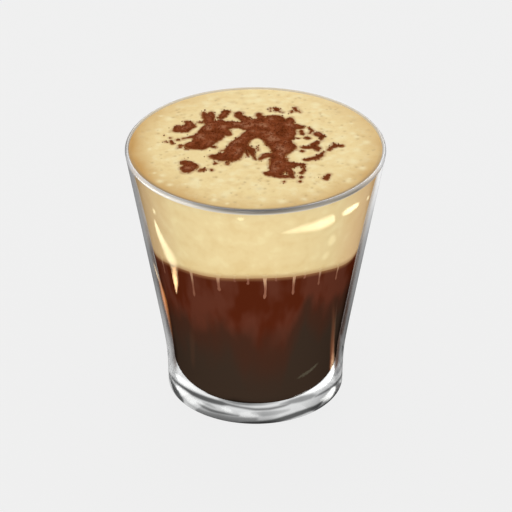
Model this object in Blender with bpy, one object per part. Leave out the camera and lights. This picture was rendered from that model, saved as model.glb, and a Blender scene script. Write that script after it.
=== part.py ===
"""Egg coffee in a clear flared tumbler.

Black coffee fills the lower part of the glass. Whipped egg cream lies on it up to the rim,
trails thin runs of cream down the wall into the coffee, and is dusted with clumps of cocoa.
The origin is the centre of the foot, on the surface that the glass stands on, and +Z is up.
The front of the drink faces -Y. Angles round the glass are counted from there, towards +X.
"""

import math
import random

import bmesh
import bpy
from mathutils import Matrix, Vector, noise

MM = 0.001
COLUMNS = 48

# Driving dimensions of the glass
RIM_RADIUS = 40.0 * MM
GLASS_HEIGHT = 83.6 * MM
FOOT_RADIUS = 27.7 * MM
FLARE_START = 12.2 * MM
FLARE_EASE = 6.0 * MM
RIM_WALL = 1.2 * MM
FOOT_WALL = 2.5 * MM
WALL_FULLNESS = 7
LIP_RADIUS = RIM_WALL / 2
LIP_HEIGHT = GLASS_HEIGHT - LIP_RADIUS
BASE_THICKNESS = 3.0 * MM
FLOOR_CORNER = 8.0 * MM
HEEL_RADIUS = 0.6 * MM
PUNT_RADIUS = 19.6 * MM
PUNT_STEP = 0.7 * MM
PUNT_DEPTH = 1.2 * MM

# Driving dimensions of what is in the glass
CLEARANCE = 0.3 * MM
COFFEE_LEVEL = 56.0 * MM
SIDE_SAG = 6.0 * MM
LEVEL_RIPPLE = 0.35 * MM
CREAM_BELOW_RIM = 0.5 * MM
CREAM_CROWN = 0.8 * MM
CREAM_DIMPLES = 0.16 * MM
CREAM_DIMPLE_SIZE = 6.0 * MM

# Runs of cream down the wall: degrees round from the front, and length in millimetres
CREAM_RUNS = (
    (-62, 5.0),
    (-37, 9.6),
    (-20, 5.4),
    (-4, 2.6),
    (5, 8.4),
    (21, 7.4),
    (37, 5.3),
    (51, 5.0),
    (78, 6.8),
    (103, 4.0),
    (122, 8.8),
    (143, 5.8),
    (167, 9.2),
    (189, 3.6),
    (211, 7.0),
    (236, 5.2),
    (262, 8.0),
)
RUN_HALF_WIDTH = 0.75 * MM
RUN_TIP_SHARE = 0.30
RUN_TAPER = 0.7
RUN_DEPTH = 0.6 * MM
RUN_INSET = 0.15 * MM
RUN_ROOT = 2.2 * MM
RUN_SIDES = 6
RUN_RINGS = 5

# Cocoa, seen from above: each stroke is a run of (x, y, half width) in millimetres
LEFT_ARM = (
    (-19.0, 0.4, 2.7),
    (-16.6, 0.8, 3.2),
    (-15.2, 4.4, 4.3),
    (-14.2, 6.8, 4.6),
    (-12.8, 10.2, 4.6),
    (-11.6, 13.2, 3.8),
)
LEFT_LOBE = (
    (-10.4, 11.4, 2.0),
    (-8.6, 8.0, 1.5),
)
TOP_BAR = (
    (-11.0, 13.0, 3.0),
    (-5.0, 13.8, 2.2),
    (-1.4, 13.6, 4.2),
    (3.2, 13.0, 5.4),
    (7.4, 11.4, 5.0),
    (10.2, 10.2, 2.6),
    (10.1, 5.0, 1.9),
)
CENTRE_STROKE = (
    (-0.6, 8.4, 3.2),
    (-3.4, 4.4, 2.3),
    (-5.0, 0.8, 2.9),
    (-6.4, -3.6, 3.2),
    (-7.4, -7.0, 3.3),
    (-10.6, -7.3, 2.5),
    (-13.2, -6.6, 1.2),
)
RIGHT_LEG = (
    (4.4, 8.2, 4.4),
    (6.6, 3.6, 4.4),
    (8.5, -0.9, 4.0),
    (6.9, -5.8, 2.4),
    (7.0, -9.6, 2.9),
    (7.2, -13.0, 3.0),
    (6.2, -16.4, 2.4),
)
# Short strokes that point back from the long ones, spurs off their sides, and small heaps beside them
FINGERS = (
    ((-14.2, 15.0, 2.0), (-14.2, 19.6, 1.7), (-13.9, 22.0, 1.0)),
    ((-15.2, 19.2, 1.3), (-16.1, 22.2, 0.8)),
    ((-10.6, 18.7, 1.3), (-9.2, 22.4, 1.3)),
    ((-5.0, 22.0, 1.2), (-5.2, 19.6, 1.4), (-2.8, 17.4, 1.8)),
    ((0.9, 21.2, 0.8), (1.6, 18.4, 1.4)),
    ((6.2, 17.4, 3.2), (6.0, 14.0, 3.0)),
    ((10.6, 17.8, 1.2), (10.6, 14.4, 1.8)),
    ((10.6, 13.0, 2.6), (13.8, 12.3, 1.4)),
)
SPURS = (
    ((-16.4, 6.8, 1.0), (-21.9, 5.2, 0.7)),
    ((-7.4, -3.0, 1.2), (-10.2, -3.2, 0.7)),
    ((-3.4, -0.6, 1.7), (-1.6, -2.4, 1.5), (-1.0, -5.6, 0.7)),
    ((5.2, -6.0, 1.6), (2.9, -6.6, 1.3), (1.5, -8.6, 0.5)),
    ((5.6, -16.8, 1.8), (3.6, -17.3, 1.3)),
    ((9.4, -11.8, 2.2), (11.0, -12.4, 1.8)),
    ((11.0, -12.2, 1.3), (14.2, -11.7, 0.9)),
    ((10.0, -14.6, 0.9), (11.3, -19.4, 0.7)),
    ((4.4, -18.4, 0.9), (9.6, -19.3, 0.9)),
)
ISLANDS = (
    ((-24.3, 10.6, 1.6), (-23.9, 12.6, 1.3)),
    ((-22.4, 10.8, 1.9), (-20.4, 13.2, 2.1), (-21.0, 15.6, 1.3)),
    ((-21.4, -10.6, 1.5), (-20.0, -12.6, 2.7), (-20.9, -15.2, 1.9)),
    ((-16.4, -15.0, 0.8), (-15.6, -15.1, 0.9)),
    ((-23.2, 0.4, 0.7), (-23.2, -0.9, 0.8)),
    ((-13.4, -0.7, 0.8), (-12.7, -0.9, 0.8)),
    ((19.2, 7.7, 1.6), (20.6, 6.6, 0.9)),
    ((19.0, 2.8, 0.8), (17.9, 0.6, 1.1), (18.7, -1.8, 1.5)),
    ((14.6, -0.9, 0.8), (17.6, -1.1, 1.2)),
    ((15.0, -8.8, 0.6), (17.6, -8.0, 1.1), (19.7, -6.2, 1.0)),
    ((22.6, -2.1, 0.8), (24.1, 0.4, 0.8), (24.4, 1.6, 0.7)),
    ((24.4, 1.0, 0.7), (26.2, 0.6, 0.6)),
    ((21.9, -17.9, 0.8), (21.2, -19.8, 0.9)),
    ((6.3, 25.2, 0.9), (6.6, 23.6, 1.1)),
    ((12.3, 25.2, 0.9), (12.8, 23.4, 0.9)),
)
COCOA_STROKES = (LEFT_ARM, LEFT_LOBE, TOP_BAR, CENTRE_STROKE, RIGHT_LEG, *FINGERS, *SPURS, *ISLANDS)
# Loose specks (x, y, radius) in millimetres
COCOA_SPECKS = (
    (-17.4, 15.5, 0.8),
    (-24.0, 4.4, 0.55),
    (-26.2, 5.7, 0.45),
    (-25.6, 2.9, 0.5),
    (-27.5, 3.4, 0.5),
    (-21.0, -1.9, 0.6),
    (-13.4, -15.2, 0.7),
    (-12.2, -11.0, 0.5),
    (-8.3, -11.7, 0.6),
    (16.8, 11.6, 0.5),
    (17.3, 9.8, 0.7),
    (14.2, 9.4, 0.8),
    (16.1, 5.0, 0.8),
    (13.1, 4.8, 0.5),
    (20.2, 4.6, 0.5),
    (14.3, -3.5, 0.6),
    (14.6, -14.6, 0.45),
    (8.6, -22.2, 0.45),
    (13.2, -21.8, 0.6),
    (13.8, -19.5, 0.6),
    (4.6, 24.4, 0.5),
)
CLUMP_SPREAD = 1.08
# In millimetres, as the strokes are
LEAST_CLUMP_GAP = 1.7
CLUMP_HEIGHT = 0.65 * MM
CLUMP_SUNK = 0.25 * MM
CLUMP_UNEVEN = 0.18
FINE_CLUMP = 2.1 * MM
SPECK_HEIGHT = 0.4 * MM
COCOA_SEED = 11


def clear_scene():
    for item in list(bpy.data.objects):
        bpy.data.objects.remove(item, do_unlink=True)


def material(name, colour, roughness, transmission=0.0):
    made = bpy.data.materials.new(name)
    made.use_nodes = True
    shader = made.node_tree.nodes["Principled BSDF"]
    shader.inputs["Base Color"].default_value = (*colour, 1.0)
    shader.inputs["Metallic"].default_value = 0.0
    shader.inputs["Roughness"].default_value = roughness
    shader.inputs["Transmission Weight"].default_value = transmission
    return made


# Curves that the pieces share

def flare(height):
    """How far the outer wall has opened above the foot, before it is scaled to meet the rim."""
    above = height - FLARE_START
    return (above + math.hypot(above, FLARE_EASE)) / 2


def outer_radius(height):
    share = (flare(height) - flare(0.0)) / (flare(LIP_HEIGHT) - flare(0.0))
    return FOOT_RADIUS + (RIM_RADIUS - FOOT_RADIUS) * share


def inner_radius(height):
    wall = FOOT_WALL + (RIM_WALL - FOOT_WALL) * (height / LIP_HEIGHT) ** WALL_FULLNESS
    return outer_radius(height) - wall


def coffee_level(angle, share):
    """Height where cream meets coffee, at an angle round and a share of the way out to the wall.

    The cream sits a little lower at the left and right sides than at the front and back.
    """
    sag = SIDE_SAG * (share * abs(math.sin(angle))) ** 3
    ripple = math.sin(5 * angle + 0.6) + 0.6 * math.sin(8 * angle + 2.1)
    return COFFEE_LEVEL - sag + LEVEL_RIPPLE * ripple * share**2


def cream_surface(x, y):
    """Height of the top of the cream: a low crown with soft dimples."""
    edge = GLASS_HEIGHT - CREAM_BELOW_RIM
    out = min(math.hypot(x, y) / inner_radius(edge), 1.0)
    dimple = noise.noise(Vector((x, y, 0.0)) / CREAM_DIMPLE_SIZE)
    return edge + CREAM_CROWN * (1 - out**2) + CREAM_DIMPLES * dimple * (1 - out**6)


def arc(centre, radius, start, end, steps):
    """Points (r, z) on an arc about centre, from start to end in degrees, ends included."""
    turns = [math.radians(start + (end - start) * step / steps) for step in range(steps + 1)]
    return [
        (centre[0] + radius * math.cos(turn), centre[1] + radius * math.sin(turn))
        for turn in turns
    ]


def bowl_corner(inset):
    """The round corner between floor and wall inside the glass, or set in from it."""
    top = BASE_THICKNESS + FLOOR_CORNER
    centre = (inner_radius(top) - FLOOR_CORNER, top)
    return arc(centre, FLOOR_CORNER - inset, -90, 0, 5)


def spread(low, high, count):
    return [low + (high - low) * step / (count - 1) for step in range(count)]


def round_spot(angle, radius):
    """The x and y of a spot at an angle round from the front."""
    return radius * math.sin(angle), -radius * math.cos(angle)


# Solids round the axis

def object_from(name, builder, finish):
    """Turns a bmesh into a smooth shaded object with one material."""
    bmesh.ops.recalc_face_normals(builder, faces=builder.faces)
    data = bpy.data.meshes.new(name)
    builder.to_mesh(data)
    builder.free()
    data.materials.append(finish)
    data.shade_smooth()
    data.set_sharp_from_angle(angle=math.radians(40))
    made = bpy.data.objects.new(name, data)
    bpy.context.scene.collection.objects.link(made)
    return made


def round_solid(name, profile_at, finish):
    """A closed solid round Z.

    profile_at(angle) runs from the axis under the piece, round its outside, to the axis on top.
    """
    builder = bmesh.new()
    angles = [math.tau * column / COLUMNS for column in range(COLUMNS)]
    profiles = [profile_at(angle) for angle in angles]
    first = builder.verts.new((0.0, 0.0, profiles[0][0][1]))
    last = builder.verts.new((0.0, 0.0, profiles[0][-1][1]))
    rings = []
    for station in range(1, len(profiles[0]) - 1):
        ring = []
        for angle, profile in zip(angles, profiles):
            radius, height = profile[station]
            ring.append(builder.verts.new((*round_spot(angle, radius), height)))
        rings.append(ring)
    for column in range(COLUMNS):
        after = (column + 1) % COLUMNS
        builder.faces.new((first, rings[0][after], rings[0][column]))
        for low, high in zip(rings, rings[1:]):
            builder.faces.new((low[column], low[after], high[after], high[column]))
        builder.faces.new((last, rings[-1][column], rings[-1][after]))
    return object_from(name, builder, finish)


def build_glass(finish):
    """The tumbler: stepped hollow under the foot, round heel, flared wall, round lip, bowl floor."""
    punt_edge = PUNT_RADIUS - PUNT_STEP
    corner = bowl_corner(0.0)[::-1]
    profile = [(0.0, PUNT_DEPTH), (punt_edge / 2, PUNT_DEPTH - PUNT_STEP / 4)]
    profile += [(punt_edge, PUNT_STEP), (PUNT_RADIUS, 0.0)]
    profile += arc((FOOT_RADIUS - HEEL_RADIUS, HEEL_RADIUS), HEEL_RADIUS, -90, 0, 4)
    profile += [(outer_radius(z), z) for z in spread(HEEL_RADIUS, LIP_HEIGHT, 8)[1:]]
    profile += arc((RIM_RADIUS - LIP_RADIUS, LIP_HEIGHT), LIP_RADIUS, 0, 180, 4)[1:-1]
    profile += [(inner_radius(z), z) for z in spread(LIP_HEIGHT, corner[0][1], 6)[:-1]]
    profile += [*corner, (0.0, BASE_THICKNESS)]
    return round_solid("glass", lambda angle: profile, finish)


def build_coffee(finish):
    """The black coffee, from the bowl floor up to the cream, clear of the glass all round."""
    corner = bowl_corner(CLEARANCE)

    def profile(angle):
        top = coffee_level(angle, 1.0) - CLEARANCE / 2
        wall = [(inner_radius(z) - CLEARANCE, z) for z in spread(corner[-1][1], top, 6)[1:]]
        across = [
            (wall[-1][0] * share, coffee_level(angle, share) - CLEARANCE / 2)
            for share in (0.7, 0.35, 0.0)
        ]
        return [(0.0, corner[0][1]), *corner, *wall, *across]

    return round_solid("coffee", profile, finish)


def build_cream(finish):
    """The egg cream, from the coffee up to its crowned top just under the rim."""

    def profile(angle):
        low = coffee_level(angle, 1.0) + CLEARANCE / 2
        edge = GLASS_HEIGHT - CREAM_BELOW_RIM
        wall = [(inner_radius(z) - CLEARANCE, z) for z in spread(low, edge, 4)]
        under = [
            (wall[0][0] * share, coffee_level(angle, share) + CLEARANCE / 2)
            for share in (0.0, 0.35, 0.7)
        ]
        top = []
        for share in (0.96, 0.86, 0.74, 0.60, 0.45, 0.30, 0.15, 0.0):
            radius = wall[-1][0] * share
            top.append((radius, cream_surface(*round_spot(angle, radius))))
        return [*under, *wall, *top]

    return round_solid("egg_cream", profile, finish)


# Runs of cream down the wall

def cream_run(degrees_round, length, finish, grown=0.0):
    """A tapering run of cream on the wall. It starts inside the cream and narrows to a round tip."""
    angle = math.radians(degrees_round)
    outward = Vector((*round_spot(angle, 1.0), 0.0))
    along = Vector((math.cos(angle), math.sin(angle), 0.0))
    start = coffee_level(angle, 1.0) + RUN_ROOT
    end = coffee_level(angle, 1.0) - length * MM
    builder = bmesh.new()
    rings = []
    for step in range(RUN_RINGS):
        down = step / (RUN_RINGS - 1)
        height = start + (end - start) * down
        size = 1 - (1 - RUN_TIP_SHARE) * down**RUN_TAPER
        half_width = RUN_HALF_WIDTH * size + grown
        half_depth = RUN_DEPTH * size + grown
        middle = inner_radius(height) - CLEARANCE - RUN_INSET - RUN_DEPTH * size
        ring = []
        for side in range(RUN_SIDES):
            turn = math.tau * side / RUN_SIDES
            out = middle + half_depth * math.cos(turn)
            spot = outward * out + along * half_width * math.sin(turn)
            ring.append(builder.verts.new((spot.x, spot.y, height)))
        rings.append(ring)
    for upper, lower in zip(rings, rings[1:]):
        for side in range(RUN_SIDES):
            after = (side + 1) % RUN_SIDES
            builder.faces.new((upper[side], upper[after], lower[after], lower[side]))
    builder.faces.new(rings[0])
    tip_height = end - RUN_TIP_SHARE * RUN_HALF_WIDTH - grown
    tip = builder.verts.new((outward.x * middle, outward.y * middle, tip_height))
    for side in range(RUN_SIDES):
        builder.faces.new((rings[-1][side], rings[-1][(side + 1) % RUN_SIDES], tip))
    return object_from("cream_run", builder, finish)


# Cocoa on the cream

def clump(x, y, radius, height, rng, finish):
    """A low uneven lump of cocoa, part sunk in the cream."""
    builder = bmesh.new()
    detail = 2 if radius > FINE_CLUMP else 1
    bmesh.ops.create_icosphere(builder, subdivisions=detail, radius=1.0)
    turned = Matrix.Rotation(rng.uniform(0, math.tau), 3, "Z")
    sunk = cream_surface(x, y) - CLUMP_SUNK
    for vertex in builder.verts:
        uneven = CLUMP_UNEVEN * rng.uniform(-1, 1)
        spot = turned @ vertex.co
        reach = radius * (1 + uneven)
        rise = (height + CLUMP_SUNK) * (1 + uneven / 2)
        vertex.co = (x + reach * spot.x, y + reach * spot.y, sunk + rise * spot.z)
    return object_from("cocoa_clump", builder, finish)


def stroke_spots(stroke):
    """Spots (x, y, half width) along a stroke, about a half width apart."""
    spots = []
    for (x0, y0, w0), (x1, y1, w1) in zip(stroke, stroke[1:]):
        gap = max((w0 + w1) / 2, LEAST_CLUMP_GAP)
        steps = max(1, round(math.hypot(x1 - x0, y1 - y0) / gap))
        for step in range(steps):
            share = step / steps
            spots.append((x0 + (x1 - x0) * share, y0 + (y1 - y0) * share, w0 + (w1 - w0) * share))
    return [*spots, stroke[-1]]


def build_cocoa(finish):
    """All the cocoa: clumps along the strokes, and loose specks beside them."""
    rng = random.Random(COCOA_SEED)
    pieces = []
    for stroke in COCOA_STROKES:
        for x, y, half_width in stroke_spots(stroke):
            height = CLUMP_HEIGHT * rng.uniform(0.75, 1.1)
            pieces.append(clump(x * MM, y * MM, half_width * CLUMP_SPREAD * MM, height, rng, finish))
    for x, y, radius in COCOA_SPECKS:
        pieces.append(clump(x * MM, y * MM, radius * MM, SPECK_HEIGHT, rng, finish))
    return pieces


# Joining and cutting

def combine(target, pieces, operation):
    """One Boolean of the target with all the pieces, applied. The pieces are then removed."""
    group = bpy.data.collections.new(f"{target.name}_{operation.lower()}")
    bpy.context.scene.collection.children.link(group)
    for piece in pieces:
        bpy.context.scene.collection.objects.unlink(piece)
        group.objects.link(piece)
    boolean = target.modifiers.new("Combine", "BOOLEAN")
    boolean.operation = operation
    boolean.operand_type = "COLLECTION"
    boolean.collection = group
    boolean.material_mode = "TRANSFER"
    bpy.context.view_layer.objects.active = target
    bpy.ops.object.modifier_apply(modifier=boolean.name)
    for piece in pieces:
        bpy.data.objects.remove(piece, do_unlink=True)
    bpy.data.collections.remove(group)


def main():
    clear_scene()
    clear_glass = material("clear_glass", (1.0, 1.0, 1.0), 0.02, transmission=1.0)
    black_coffee = material("black_coffee", (0.045, 0.016, 0.008), 0.12)
    egg_cream = material("whipped_egg_cream", (0.86, 0.69, 0.38), 0.55)
    cocoa = material("cocoa_powder", (0.20, 0.055, 0.022), 0.9)

    build_glass(clear_glass)
    coffee = build_coffee(black_coffee)
    cutters = [cream_run(*run, black_coffee, grown=CLEARANCE) for run in CREAM_RUNS]
    combine(coffee, cutters, "DIFFERENCE")
    cream = build_cream(egg_cream)
    runs = [cream_run(*run, egg_cream) for run in CREAM_RUNS]
    combine(cream, runs + build_cocoa(cocoa), "UNION")


main()
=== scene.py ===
"""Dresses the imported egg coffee: clear tumbler, black coffee, whipped egg cream and cocoa.

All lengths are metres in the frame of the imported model: +Z up, the origin under the middle of the foot.
The front of the drink faces -Y. Angles round the glass are counted from there, towards +X.
"""

import math

import bpy
import numpy as np
from bpy.props import FloatProperty, FloatVectorProperty, IntProperty, PointerProperty
from bpy.types import Operator, Panel, PropertyGroup
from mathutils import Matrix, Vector, noise


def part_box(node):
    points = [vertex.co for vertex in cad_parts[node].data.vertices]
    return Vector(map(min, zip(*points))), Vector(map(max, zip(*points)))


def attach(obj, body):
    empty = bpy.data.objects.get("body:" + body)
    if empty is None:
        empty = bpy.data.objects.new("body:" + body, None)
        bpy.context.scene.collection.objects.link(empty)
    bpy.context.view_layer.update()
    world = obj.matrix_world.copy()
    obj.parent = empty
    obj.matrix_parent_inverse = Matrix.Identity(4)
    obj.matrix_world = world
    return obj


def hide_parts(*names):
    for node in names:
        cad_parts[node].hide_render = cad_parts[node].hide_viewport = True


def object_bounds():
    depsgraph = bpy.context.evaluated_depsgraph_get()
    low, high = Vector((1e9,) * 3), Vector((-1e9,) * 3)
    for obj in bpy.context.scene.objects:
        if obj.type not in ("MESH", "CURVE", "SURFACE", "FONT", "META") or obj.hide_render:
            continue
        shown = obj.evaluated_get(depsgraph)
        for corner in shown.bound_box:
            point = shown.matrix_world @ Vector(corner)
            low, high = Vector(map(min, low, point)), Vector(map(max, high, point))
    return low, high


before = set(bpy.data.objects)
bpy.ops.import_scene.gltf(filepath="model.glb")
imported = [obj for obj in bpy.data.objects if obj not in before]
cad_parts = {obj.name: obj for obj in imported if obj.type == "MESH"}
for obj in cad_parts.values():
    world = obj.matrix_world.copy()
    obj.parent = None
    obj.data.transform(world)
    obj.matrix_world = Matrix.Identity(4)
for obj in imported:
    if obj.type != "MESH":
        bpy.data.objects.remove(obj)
CAD_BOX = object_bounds()
GLASS_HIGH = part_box("glass")[1]

bl_info = {
    "name": "Egg coffee",
    "version": (1, 0, 0),
    "blender": (4, 5, 0),
    "location": "3D View > Sidebar > Egg coffee",
    "description": "Models and finishes a glass of egg coffee around its packed frame",
    "category": "Object",
}

MM = 0.001
BODY = "root"
# Side of the render in pixels
FRAME_SIDE = 512
# Facets of a round corner, and of the lip
CORNER_STEPS = 12
LIP_STEPS = 16

# Runs of cream down the wall: degrees round, length and half width in mm, and how pale they are
CREAM_RUNS = (
    (-62, 5, 0.6, 0.3), (-37, 9.6, 0.62, 0.45), (-20, 5.4, 0.75, 0.65), (-4, 2.6, 0.6, 0.5),
    (5, 8.4, 0.66, 1), (21, 7.4, 0.62, 0.75), (37, 5.3, 0.56, 0.4), (51, 5, 0.56, 0.6),
    (78, 6.8, 0.7, 0.6), (103, 4, 0.65, 0.5), (122, 8.8, 0.75, 0.8), (143, 5.8, 0.6, 0.5),
    (167, 9.2, 0.75, 0.7), (189, 3.6, 0.6, 0.5), (211, 7, 0.7, 0.8), (236, 5.2, 0.6, 0.5),
    (262, 8, 0.75, 0.7), (-11, 1.5, 0.5, 0.3), (11, 1.5, 0.45, 0.5), (27, 1.6, 0.5, 1),
)

# Cocoa, seen from above. Each stroke is a run of (x, y, half width) in mm, and each speck is one such spot
LEFT_ARM = (
    (-19, 0.4, 2.7), (-16.6, 0.8, 3.2), (-15.2, 4.4, 4.3), (-14.2, 6.8, 4.6), (-12.8, 10.2, 4.6),
    (-11.6, 13.2, 3.8),
)
LEFT_LOBE = (
    (-10.4, 11.4, 2), (-8.6, 8, 1.5),
)
TOP_BAR = (
    (-11, 13, 3), (-5, 13.8, 2.2), (-1.4, 13.6, 4.2), (3.2, 13, 5.4), (7.4, 11.4, 5),
    (10.2, 10.2, 2.6), (10.1, 5, 1.9),
)
CENTRE_STROKE = (
    (-0.6, 8.4, 3.2), (-3.4, 4.4, 2.3), (-5, 0.8, 2.9), (-6.4, -3.6, 3.2), (-7.4, -7, 3.3),
    (-10.6, -7.3, 2.5), (-13.2, -6.6, 1.2),
)
RIGHT_LEG = (
    (4.4, 8.2, 4.4), (6.6, 3.6, 4.4), (8.5, -0.9, 4), (6.9, -5.8, 2.4), (7, -9.6, 2.9), (7.2, -13, 3),
    (6.2, -16.4, 2.4),
)
FINGERS = (
    ((-14.2, 15, 2), (-14.2, 19.6, 1.7), (-13.9, 22, 1)),
    ((-15.2, 19.2, 1.3), (-16.1, 22.2, 0.8)),
    ((-10.6, 18.7, 1.3), (-9.2, 22.4, 1.3)),
    ((-5, 22, 1.2), (-5.2, 19.6, 1.4), (-2.8, 17.4, 1.8)),
    ((0.9, 21.2, 0.8), (1.6, 18.4, 1.4)),
    ((6.2, 17.4, 3.2), (6, 14, 3)),
    ((10.6, 17.8, 1.2), (10.6, 14.4, 1.8)),
    ((10.6, 13, 2.6), (13.8, 12.3, 1.4)),
)
SPURS = (
    ((-16.4, 6.8, 1), (-21.9, 5.2, 0.7)),
    ((-7.4, -3, 1.2), (-10.2, -3.2, 0.7)),
    ((-3.4, -0.6, 1.7), (-1.6, -2.4, 1.5), (-1, -5.6, 0.7)),
    ((5.2, -6, 1.6), (2.9, -6.6, 1.3), (1.5, -8.6, 0.5)),
    ((5.6, -16.8, 1.8), (3.6, -17.3, 1.3)),
    ((9.4, -11.8, 2.2), (11, -12.4, 1.8)),
    ((11, -12.2, 1.3), (14.2, -11.7, 0.9)),
    ((9.4, -14.2, 1.3), (10.4, -16.6, 1.1), (11.3, -19.4, 0.7)),
    ((4.4, -18.4, 0.9), (9.6, -19.3, 0.9)),
)
ISLANDS = (
    ((-24.3, 10.6, 1.6), (-23.9, 12.6, 1.3)),
    ((-22.4, 10.8, 1.9), (-20.4, 13.2, 2.1), (-21, 15.6, 1.3)),
    ((-21.4, -10.6, 1.5), (-20, -12.6, 2.7), (-20.9, -15.2, 1.9)),
    ((-16.4, -15, 0.8), (-15.6, -15.1, 0.9)),
    ((-23.2, 0.4, 0.7), (-23.2, -0.9, 0.8)),
    ((-13.4, -0.7, 0.8), (-12.7, -0.9, 0.8)),
    ((19.2, 7.7, 1.6), (20.6, 6.6, 0.9)),
    ((19, 2.8, 0.8), (17.9, 0.6, 1.1), (18.7, -1.8, 1.5)),
    ((14.6, -0.9, 0.8), (17.6, -1.1, 1.2)),
    ((15, -8.8, 0.6), (17.6, -8, 1.1), (19.7, -6.2, 1)),
    ((22.6, -2.1, 0.8), (24.1, 0.4, 0.8), (24.4, 1.6, 0.7)),
    ((24.4, 1, 0.7), (26.2, 0.6, 0.6)),
    ((21.9, -17.9, 0.8), (21.2, -19.8, 0.9)),
    ((6.3, 25.2, 0.9), (6.6, 23.6, 1.1)),
    ((12.3, 25.2, 0.9), (12.8, 23.4, 0.9)),
)
COCOA_STROKES = (LEFT_ARM, LEFT_LOBE, TOP_BAR, CENTRE_STROKE, RIGHT_LEG, *FINGERS, *SPURS, *ISLANDS)
FINE_STROKES = (
    ((16.6, 12.2, 0.5), (17.4, 9.8, 0.7), (16.8, 8.2, 0.4)),
    ((14.2, 10.2, 0.7), (14.3, 7.8, 0.6)),
    ((20.4, 5.6, 0.5), (20.1, 4, 0.4)),
    ((19.9, -5.6, 0.8), (20.9, -4, 0.4)),
    ((14.4, -12.6, 0.4), (14.8, -15, 0.3), (13.6, -16.8, 0.4)),
    ((-1, -5.6, 0.6), (-0.2, -8.4, 0.35)),
    ((-2.6, -4.4, 0.5), (-2.2, -7, 0.3)),
    ((-8.4, -9.8, 0.8), (-8.3, -12, 0.5)),
    ((-12.3, -10, 0.4), (-12.2, -11.6, 0.4)),
    ((-26.1, 4, 0.4), (-25.3, 2, 0.45)),
    ((6.8, 23.2, 0.6), (8.2, 22.4, 0.35)),
    ((4.6, 25.6, 0.4), (4.7, 23, 0.4)),
    ((13.2, 23.4, 0.6), (14, 22.4, 0.4)),
    ((11.4, 23.6, 0.4), (11.3, 22.4, 0.35)),
    ((0.7, -1, 0.35), (0.9, -3.4, 0.4)),
)
COCOA_SPECKS = (
    (-17.4, 15.5, 0.8), (-24, 4.4, 0.55), (-26.2, 5.7, 0.45), (-25.6, 2.9, 0.5), (-27.5, 3.4, 0.5),
    (-21, -1.9, 0.6), (-13.4, -15.2, 0.7), (-12.2, -11, 0.5), (-8.3, -11.7, 0.6), (16.8, 11.6, 0.5),
    (17.3, 9.8, 0.7), (14.2, 9.4, 0.8), (16.1, 5, 0.8), (13.1, 4.8, 0.5), (20.2, 4.6, 0.5),
    (14.3, -3.5, 0.6), (14.6, -14.6, 0.45), (8.6, -22.2, 0.45), (13.2, -21.8, 0.6), (13.8, -19.5, 0.6),
    (4.6, 24.4, 0.5),
)

# Painted reflection and shade: how light the wall looks edge on, at heights in mm, on the left and on the
# right
LEFT_EDGE = ((9, 0.6), (43, 0.22), (50, 0.36), (82, 0.34))
RIGHT_EDGE = ((9, 0.42), (20, 0.26), (48, 0.35), (58, 0.52), (70, 1))

# Strokes on the glass or the coffee are runs of (degrees round, height in mm, half width in mm, strength)
# Painted shade and reflections in the thick foot
FOOT_SHADES = (
    (
        (-84, 4, 0.6, 0.55), (-70, 5.4, 0.7, 0.65), (-60, 6.1, 0.6, 0.8), (-52, 6.4, 0.7, 0.84),
        (-45, 6.4, 0.9, 0.85), (-38, 6.5, 1, 0.85), (-30, 6.6, 1, 0.85), (-22, 6.7, 0.9, 0.84),
        (-18, 6.7, 0.5, 0.8), (-8, 6.2, 0.45, 0.74), (0, 5.7, 0.5, 0.74), (9, 5.7, 0.5, 0.74),
        (19, 6.2, 0.45, 0.68), (24, 6.6, 0.3, 0.6),
    ),
    (
        (16, 6.9, 0.3, 0.4), (23, 7.1, 0.8, 0.58), (31, 7, 1.1, 0.6), (39, 6.6, 0.9, 0.52),
        (43, 6.3, 0.4, 0.4),
    ),
    (
        (42, 5.8, 0.25, 0.6), (47, 5.7, 0.4, 0.76), (55, 5.4, 0.45, 0.78), (63, 4.9, 0.5, 0.78),
        (82, 3.6, 0.8, 0.72),
    ),
    (
        (-24, 8, 0.4, 0.4), (-14, 8, 0.9, 0.66), (-5, 7.8, 0.8, 0.66), (4, 7.7, 0.6, 0.5),
        (14, 8.1, 0.4, 0.35),
    ),
    (
        (-41, 3.7, 0.2, 0.4), (-36, 3.2, 0.6, 0.62), (-30, 2.9, 0.6, 0.72), (-21, 3, 0.5, 0.76),
        (-11, 2.9, 0.3, 0.6),
    ),
    (
        (-50, 1.5, 0.5, 0.2), (-38, 1, 0.8, 0.4), (-24, 1.4, 1, 0.5), (-10, 1.6, 1, 0.5),
        (0, 1.9, 0.8, 0.45),
    ),
    ((-44, 0, 0.3, 0.62), (-28, 0, 0.4, 0.68), (-12, 0.2, 0.5, 0.78)),
    (
        (-12, 0.3, 0.5, 0.78), (-4, 0.5, 0.8, 0.82), (4, 0.5, 0.9, 0.84), (12, 0.8, 0.9, 0.84),
        (20, 1.4, 1, 0.84), (28, 1.8, 1, 0.84), (36, 1.9, 0.9, 0.86), (43, 1.6, 0.9, 0.86),
        (47, 1.9, 0.7, 0.86), (50, 2.5, 0.3, 0.8),
    ),
    ((43, 0.6, 0.6, 0.84), (55, 0.2, 0.55, 0.84), (66, 0.2, 0.6, 0.84), (82, 0.2, 0.6, 0.84)),
    (
        (-84, 3.9, 0.7, 0.75), (-74, 3, 1.1, 0.84), (-68, 2.3, 1.5, 0.85), (-62, 1.6, 1.6, 0.83),
        (-56, 1, 0.8, 0.76),
    ),
    ((60, 8.8, 0.4, 0.15), (70, 8.4, 1.1, 0.4), (88, 8.2, 1.3, 0.5)),
    ((-2, 4.3, 0.4, 0.3), (5, 4, 1, 0.42), (14, 4, 0.8, 0.38), (22, 4.2, 0.3, 0.3)),
    ((-36, 4.9, 0.4, 0.3), (-31, 4.7, 0.6, 0.35), (-27, 4.3, 0.3, 0.3)),
)
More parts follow.
